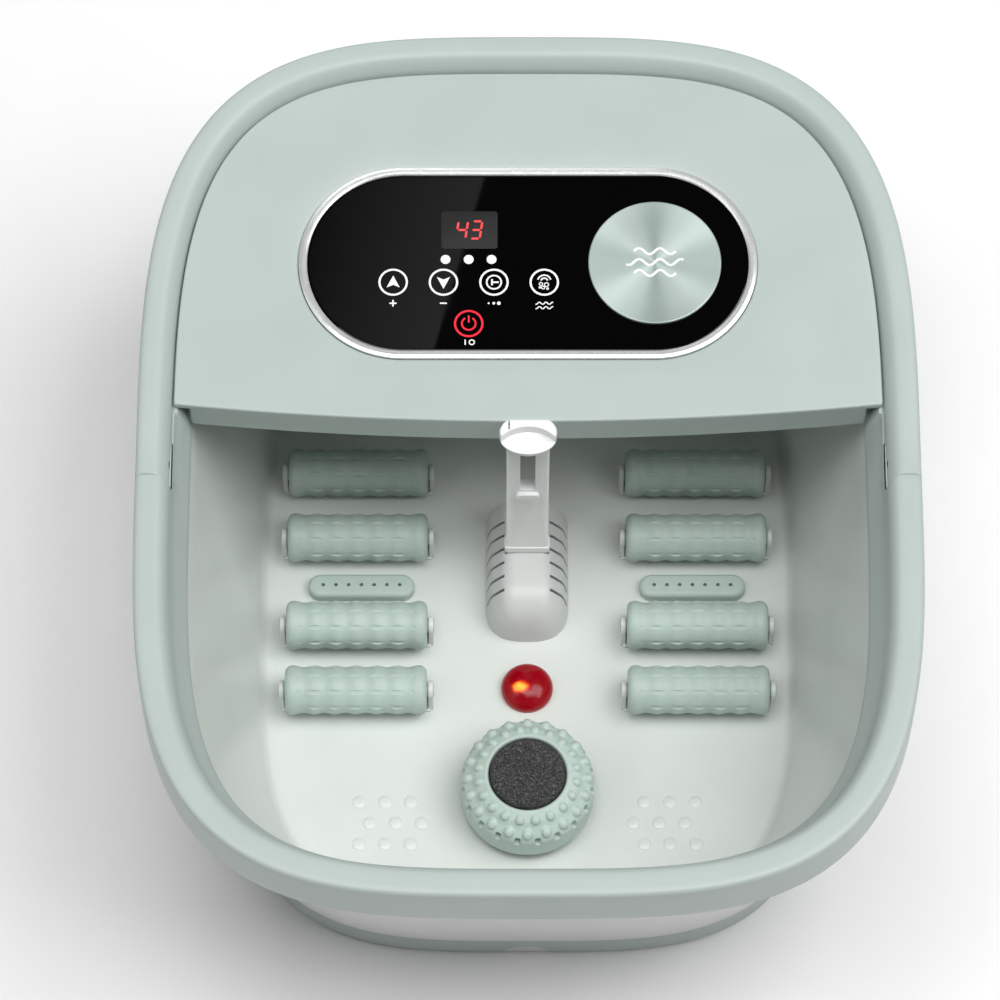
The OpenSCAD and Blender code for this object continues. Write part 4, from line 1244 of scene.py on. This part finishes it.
ridge = ridge_body("vent_ridge", 0.0)
ridge_cuts = [box_data((-10.2, STOP_Y - 3.3, FLOOR_Z + 2), (10.2, STOP_Y + 3.3, FLOOR_Z + 40))]
SLOTS, SLOT_Y, SLOT_PITCH, SLOT_HALF = 6, -4, 7, 0.7
for side in (-1, 1):
    for i in range(SLOTS):
        y = SLOT_Y + i * SLOT_PITCH
        xs = sorted((side * 10.6, side * 24))
        ridge_cuts.append(box_data((xs[0], y - SLOT_HALF, FLOOR_Z + 4), (xs[1], y + SLOT_HALF, FLOOR_Z + 40)))
boolean(ridge, ridge_cuts)
boolean(ridge, [box_data((-50, -50, FLOOR_Z - 10), (50, 60, FLOOR_Z))])
# painted shade: a black inner copy of the cover, seen through its slots, stands in for the shade inside the
# vents
painted_shade_sheet = ridge_body("vent_painted_shade_sheet", 1.6)
boolean(painted_shade_sheet, [
    box_data((-50, -50, FLOOR_Z - 10), (50, 60, FLOOR_Z + 0.5)),
    box_data((-10.4, STOP_Y - 3.5, FLOOR_Z - 2), (10.4, STOP_Y + 3.5, FLOOR_Z + 40)),
])
finish_piece(painted_shade_sheet, black)
finish_piece(ridge, painted_shade_white, replaces=["heater_cover"])

ROD_LOW, ROD_HIGH = span("drain_rod")
ROD_HALF, ROD_T = 9.75, 5.8
rod = build("stopper_post", *prism(round_rect(ROD_HALF, ROD_T / 2, 1.3), ROD_LOW[2], ROD_HIGH[2]))
for vertex in rod.data.vertices:
    vertex.co.y += STOP_Y * MM
WINDOW_DROP, PILL_DROP = 28.0, 52.8
window = [(x, z + ROD_HIGH[2] - WINDOW_DROP) for x, z in round_rect(3.45, 20.0, 1.0)]
boolean(rod, [prism(window, STOP_Y - 6, STOP_Y + 6, "xz")])
collar = round_rect(ROD_HALF + 0.9, ROD_T / 2 + 0.6, 1.8)
pill = [(x, z + ROD_HIGH[2] - PILL_DROP) for x, z in round_rect(5.4, 3.2, 3.0)]
boolean(rod, [
    prism([(x, y + STOP_Y) for x, y in collar], RIDGE_HIGH[2] + 0.4, RIDGE_HIGH[2] + 5.4),
    prism(pill, STOP_Y - ROD_T / 2 - 2.0, STOP_Y, "xz"),
], "UNION")
bevelled(rod, 0.7, 3, 50)
finish_piece(rod, bright, "drain_stopper", ["drain_rod"])

KNOB_LOW, KNOB_HIGH = span("drain_knob")
KNOB_HALF, KNOB_DEEP = 13.0, 8.7
knob_y = STOP_Y - 2.5
base = KNOB_LOW[2]
height = KNOB_HIGH[2] - base
knob_rings = []
for k, h in [(0.62, 0.0), (0.72, 0.15)] + [
    (0.72 + 0.28 * sin(a), 6.2 * (1 - cos(a)) + 0.15) for a in np.linspace(0.25, pi / 2, 10)
] + [(1.0, height - 1.0), (0.985, height - 0.4), (0.95, height)]:
    knob_rings.append([
        (KNOB_HALF * k * cos(a), knob_y + KNOB_DEEP * k * sin(a), base + h)
        for a in np.linspace(0, 2 * pi, 120, endpoint=False)
    ])
knob = loft("stopper_knob", knob_rings)
boolean(knob, [box_data((-15, STOP_Y - 13, base - 1), (15, STOP_Y + 3.1, base + height + 1))], "INTERSECT")
THUMB_R = 17.0
thumb = circle(0, STOP_Y - THUMB_R - 0.1, THUMB_R, 160)
boolean(knob, [
    prism(thumb, base + 5.5, base + height + 5),
    box_data((-8.9, STOP_Y - 1.5, base + 5.6), (-8.3, STOP_Y + 4, base + 20)),
])
bevelled(knob, 0.45, 3, 45)
finish_piece(knob, bright, "drain_stopper", ["drain_knob"])

LENS = middle("red_lens")
lens_profile = smooth(
    [(12, 0), (12, 2.5), (10.6, 5.2), (7.6, 7.4), (4, 8.6), (0, 9)], 5, closed=False
)
lens_top = [(0, -3.5), (7.8, -3.5), (7.8, 0)] + [tuple(p) for p in lens_profile]
lens = turned("red_lens_dome", [(r, h) for r, h in lens_top], 96)
lens.location = (LENS[0] * MM, LENS[1] * MM, FLOOR_Z * MM)
finish_piece(lens, ruby, replaces=["red_lens"])

# ---------------------------------------------------------------- pumice head

HEAD = middle("pumice_holder")
HEAD_LOW, HEAD_HIGH = span("pumice_holder")
HEAD_R = (HEAD_HIGH[0] - HEAD_LOW[0]) / 2
STONE_R = (span("pumice_stone")[1][0] - span("pumice_stone")[0][0]) / 2
SEAT_R = STONE_R + 0.15
head_profile = [
    (8.3, 5), (HEAD_R - 1.6, 5), (HEAD_R, 7.2), (HEAD_R, 19.5), (HEAD_R - 1.4, 22.6), (HEAD_R - 4.6, 25.4),
    (23.6, 28.0), (20.9, 29.6), (19.6, 30.4), (STONE_R + 0.9, 30.4), (SEAT_R, 29.8), (SEAT_R, 20), (0, 20),
]
outer_line = smooth(head_profile[:9], 14, corners=(0, 1), closed=False)
steps = [np.linalg.norm(b - a) for a, b in zip(outer_line, outer_line[1:])]
lengths = np.concatenate([[0], np.cumsum(steps)])
keep = np.linspace(0, lengths[-1], 96)
outer_line = np.array([[np.interp(k, lengths, [p[c] for p in outer_line]) for c in (0, 1)] for k in keep])
tangents = np.gradient(outer_line, axis=0)
normals = np.stack([tangents[:, 1], -tangents[:, 0]], axis=1)
normals /= np.linalg.norm(normals, axis=1)[:, None]
NUBS = 20
STEPS = 400
NUB_ROWS = ((27.6, 24.2, 0.0, 2.35, 2.1), (22.6, 28.6, 0.5, 2.1, 1.8))
SLOT_ROW = (HEAD_R - 0.2, 20.6, 0.5, 1.3, 2.1, 3.6)
head_rings = []
for (r, z), (nr, nz) in zip(outer_line, normals):
    ring = []
    for i in range(STEPS):
        a = 2 * pi * i / STEPS
        push = 0.0
        for row_r, row_z, phase, nub_r, nub_h in NUB_ROWS:
            turn = (a * NUBS / (2 * pi) - phase + 0.5) % 1.0 - 0.5
            across = turn * 2 * pi / NUBS * row_r
            along = hypot(r - row_r, z - row_z) * (1 if z > row_z else -1)
            d2 = (across / nub_r) ** 2 + (along / (nub_r * 1.12)) ** 2
            if d2 < 1:
                push = max(push, nub_h * sqrt(1 - d2) ** 0.9)
        row_r, row_z, phase, half_a, half_z, deep = SLOT_ROW
        turn = (a * NUBS / (2 * pi) - phase + 0.5) % 1.0 - 0.5
        across = turn * 2 * pi / NUBS * row_r / half_a
        along = hypot(r - row_r, z - row_z) / half_z
        d2 = across**4 + along**4
        if d2 < 1.6:
            push -= deep * min(1.0, (1.6 - d2) / 1.0)
        rr = min(HEAD_R, r + nr * push)
        top = FLOOR_Z + min(z + nz * push, HEAD_HIGH[2] - FLOOR_Z)
        ring.append((HEAD[0] + rr * cos(a), HEAD[1] + rr * sin(a), top))
    head_rings.append(ring)


def head_ring(r, z):
    turns = [2 * pi * i / STEPS for i in range(STEPS)]
    return [(HEAD[0] + r * cos(a), HEAD[1] + r * sin(a), FLOOR_Z + z) for a in turns]


head_rings += [head_ring(max(r, 1e-3), z) for r, z in head_profile[9:]]
head = loft("pumice_ring", [head_ring(1e-3, 15.5), head_ring(8.3, 15.5)] + head_rings)
finish_piece(head, mint_soft, "pumice_head", ["pumice_holder"], angle=60)

STONE_H = span("pumice_stone")[1][2] - FLOOR_Z
EDGE_R, STONE_STEPS, ROUGH_FROM, SEATED_TO = 2.2, 240, 28, 21
stone_rings = []
stone_profile = [(STONE_R, 20.0), (STONE_R, 24.0), (STONE_R, 28.0)]
stone_profile += [
    (STONE_R - EDGE_R * (1 - cos(a)), STONE_H - EDGE_R * 1.1 + EDGE_R * 1.1 * sin(a))
    for a in np.linspace(0, pi / 2, 8)
]
stone_profile += [(q, STONE_H) for q in np.linspace(STONE_R - EDGE_R - 0.35, 0.02, 44)]
for r, z in stone_profile:
    ring = []
    for i in range(STONE_STEPS):
        a = 2 * pi * i / STONE_STEPS
        x, y = r * cos(a), r * sin(a)
        rough = noise.fractal(Vector((x * 0.9, y * 0.9, z * 0.9)), 0.7, 2.1, 4)
        pit = max(0.0, noise.noise(Vector((x * 0.8 + 40, y * 0.8, z * 0.8))) - 0.25) * 1.3
        dig = min(0.9, 0.2 + 0.16 * rough + pit)
        top = 1.0 if z > ROUGH_FROM else 0.0
        shrink = 1 - (0.3 + 0.05 * rough) / STONE_R if z > SEATED_TO else 1.0
        wobble = 1 - 0.012 * (1 + sin(3 * a + 1) * 0.5 + sin(7 * a) * 0.4)
        ring.append((HEAD[0] + x * shrink * wobble, HEAD[1] + y * shrink * wobble, FLOOR_Z + z - dig * top))
    stone_rings.append(ring)
pumice = loft("pumice_stone_top", stone_rings)
finish_piece(pumice, stone, "pumice_head", ["pumice_stone"], angle=70)

# ---------------------------------------------------------------- CAD nodes that keep their mesh

KEPT = {
    "rubber_feet": rubber, "base_screws": steel, "rim_seal": rubber, "handle_pins": steel,
    "console_tray": white, "console_screws": steel, "display_module": black,
    "indicator_leds": clear, "touch_springs": steel,
    "control_pcb": circuit, "power_pcb": circuit, "wire_harness": rubber, "cord_gland": rubber,
    "heater_block": aluminium, "thermal_cutout": black, "temperature_probe": steel, "air_pump": black,
    "pump_mounts": rubber, "air_tubes": clear, "check_valve": white, "red_led_board": circuit,
    "pumice_socket": white, "drain_plug": rubber, "drain_sump": white, "drain_duct": clear,
    "roller_brackets_left": white, "roller_brackets_right": white,
}
for node, look in KEPT.items():
    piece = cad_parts[node]
    piece.data.materials.clear()
    piece.data.materials.append(look)
    weld = piece.modifiers.new("weld", "WELD")
    weld.merge_threshold = 1e-5
    softened(piece, 0.2)
    shade(piece, 40)

# ---------------------------------------------------------------- studio

FAR = 9000
corners = [(-FAR, -FAR, 0), (FAR, -FAR, 0), (FAR, FAR, 0), (-FAR, FAR, 0)]
floor = build("studio_floor", corners, [(0, 1, 2, 3)])
floor_look = moulded(
    "studio_paper", (0.93, 0.93, 0.93), 0.8, tint=0.004, fine=40.0, bump=0.05, depth=0.0001, level=0.2
)
floor.data.materials.append(floor_look)
floor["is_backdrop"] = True

ELEVATION = radians(64.0)
DISTANCE = 2.4
target = Vector((-0.01267, -0.0203, 0.195))
camera_data = bpy.data.cameras.new("camera")
camera_data.sensor_width = 36.0
camera_data.lens = 194.3
camera_data.clip_start, camera_data.clip_end = 0.05, 60.0
camera = placed("camera", camera_data)
back = Vector((0, -cos(ELEVATION), sin(ELEVATION)))
camera.location = target + back * DISTANCE
camera.rotation_euler = (-back).to_track_quat("-Z", "Y").to_euler()
bpy.context.scene.camera = camera


LIGHT_AIM = Vector((0, 0, 0.1))


def softbox(name, where, size, power, shape=1.0):
    data = bpy.data.lights.new(name, "AREA")
    data.shape = "RECTANGLE"
    data.size, data.size_y = size, size * shape
    data.energy = power
    made = placed(name, data)
    made.location = where
    made.rotation_euler = (LIGHT_AIM - Vector(where)).to_track_quat("-Z", "Y").to_euler()
    made.visible_camera = False
    return made


softbox("key", (1.6, -0.25, 3.0), 2.2, 76.0)
softbox("overhead", (-0.2, -0.3, 2.6), 1.4, 27.0, 0.8)
softbox("fill", (-1.8, -0.3, 2.2), 1.4, 11.0)
softbox("rear", (-0.5, 1.9, 1.8), 1.3, 8.0, 0.7)

# dim card whose mirror image lies slantwise on the left of the glass
glass_normal = Vector((0, -sin(TILT), cos(TILT)))


def mirrored(x, s, height):
    """Where the mirror image of a point of the glass lies on the plane at this height."""
    point = Vector(on_slope(x, s, GLASS_H)) * MM
    ray = (point - camera.location).normalized()
    ray = ray - 2 * ray.dot(glass_normal) * glass_normal
    return point + ray * ((height - point.z) / ray.z)


CARD_Z = 1.75
ABOVE, BELOW = PANEL_S + PANEL_R + 25, PANEL_S - PANEL_R - 20
card_top, card_low = mirrored(-13.0, ABOVE, CARD_Z), mirrored(-48.0, BELOW, CARD_Z)
far_top, far_low = mirrored(-100, ABOVE, CARD_Z), mirrored(-129, BELOW, CARD_Z)
card_mesh = bpy.data.meshes.new("reflection_card")
card_mesh.from_pydata([far_low, card_low, card_top, far_top], [], [(3, 2, 1, 0)])
uv = card_mesh.uv_layers.new(name="card")
for loop, value in zip(uv.data, ((0, 1), (1, 1), (1, 0), (0, 0))):
    loop.uv = value
card = placed("reflection_card", card_mesh)
card_look, tree, shader = material("card_light")
across = add(tree, "SeparateXYZ", {"Vector": place(tree, "UV")}).outputs["X"]
feed(tree, shader, {
    "Base Color": (0, 0, 0, 1), "Specular IOR Level": 0.0, "Emission Color": (1, 1, 1, 1),
    "Emission Strength": spread(tree, across, 0.02, 0.46, 0.0, 1.0),
})
card_mesh.materials.append(card_look)
card.visible_camera = False
card.visible_shadow = False
card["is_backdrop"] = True

world = bpy.data.worlds.new("studio")
world.use_nodes = True
bpy.context.scene.world = world
sky = world.node_tree
height = add(sky, "SeparateXYZ", {"Vector": place(sky, "Generated")}).outputs["Z"]
HORIZON, ZENITH = 0.16, 0.02
feed(sky, sky.nodes["Background"], {
    "Strength": spread(sky, height, HORIZON, ZENITH, 0.15, 0.8), "Color": (1, 1, 1, 1),
})
bpy.context.scene.view_settings.view_transform = "Standard"
bpy.context.scene.view_settings.look = "None"

low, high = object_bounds()
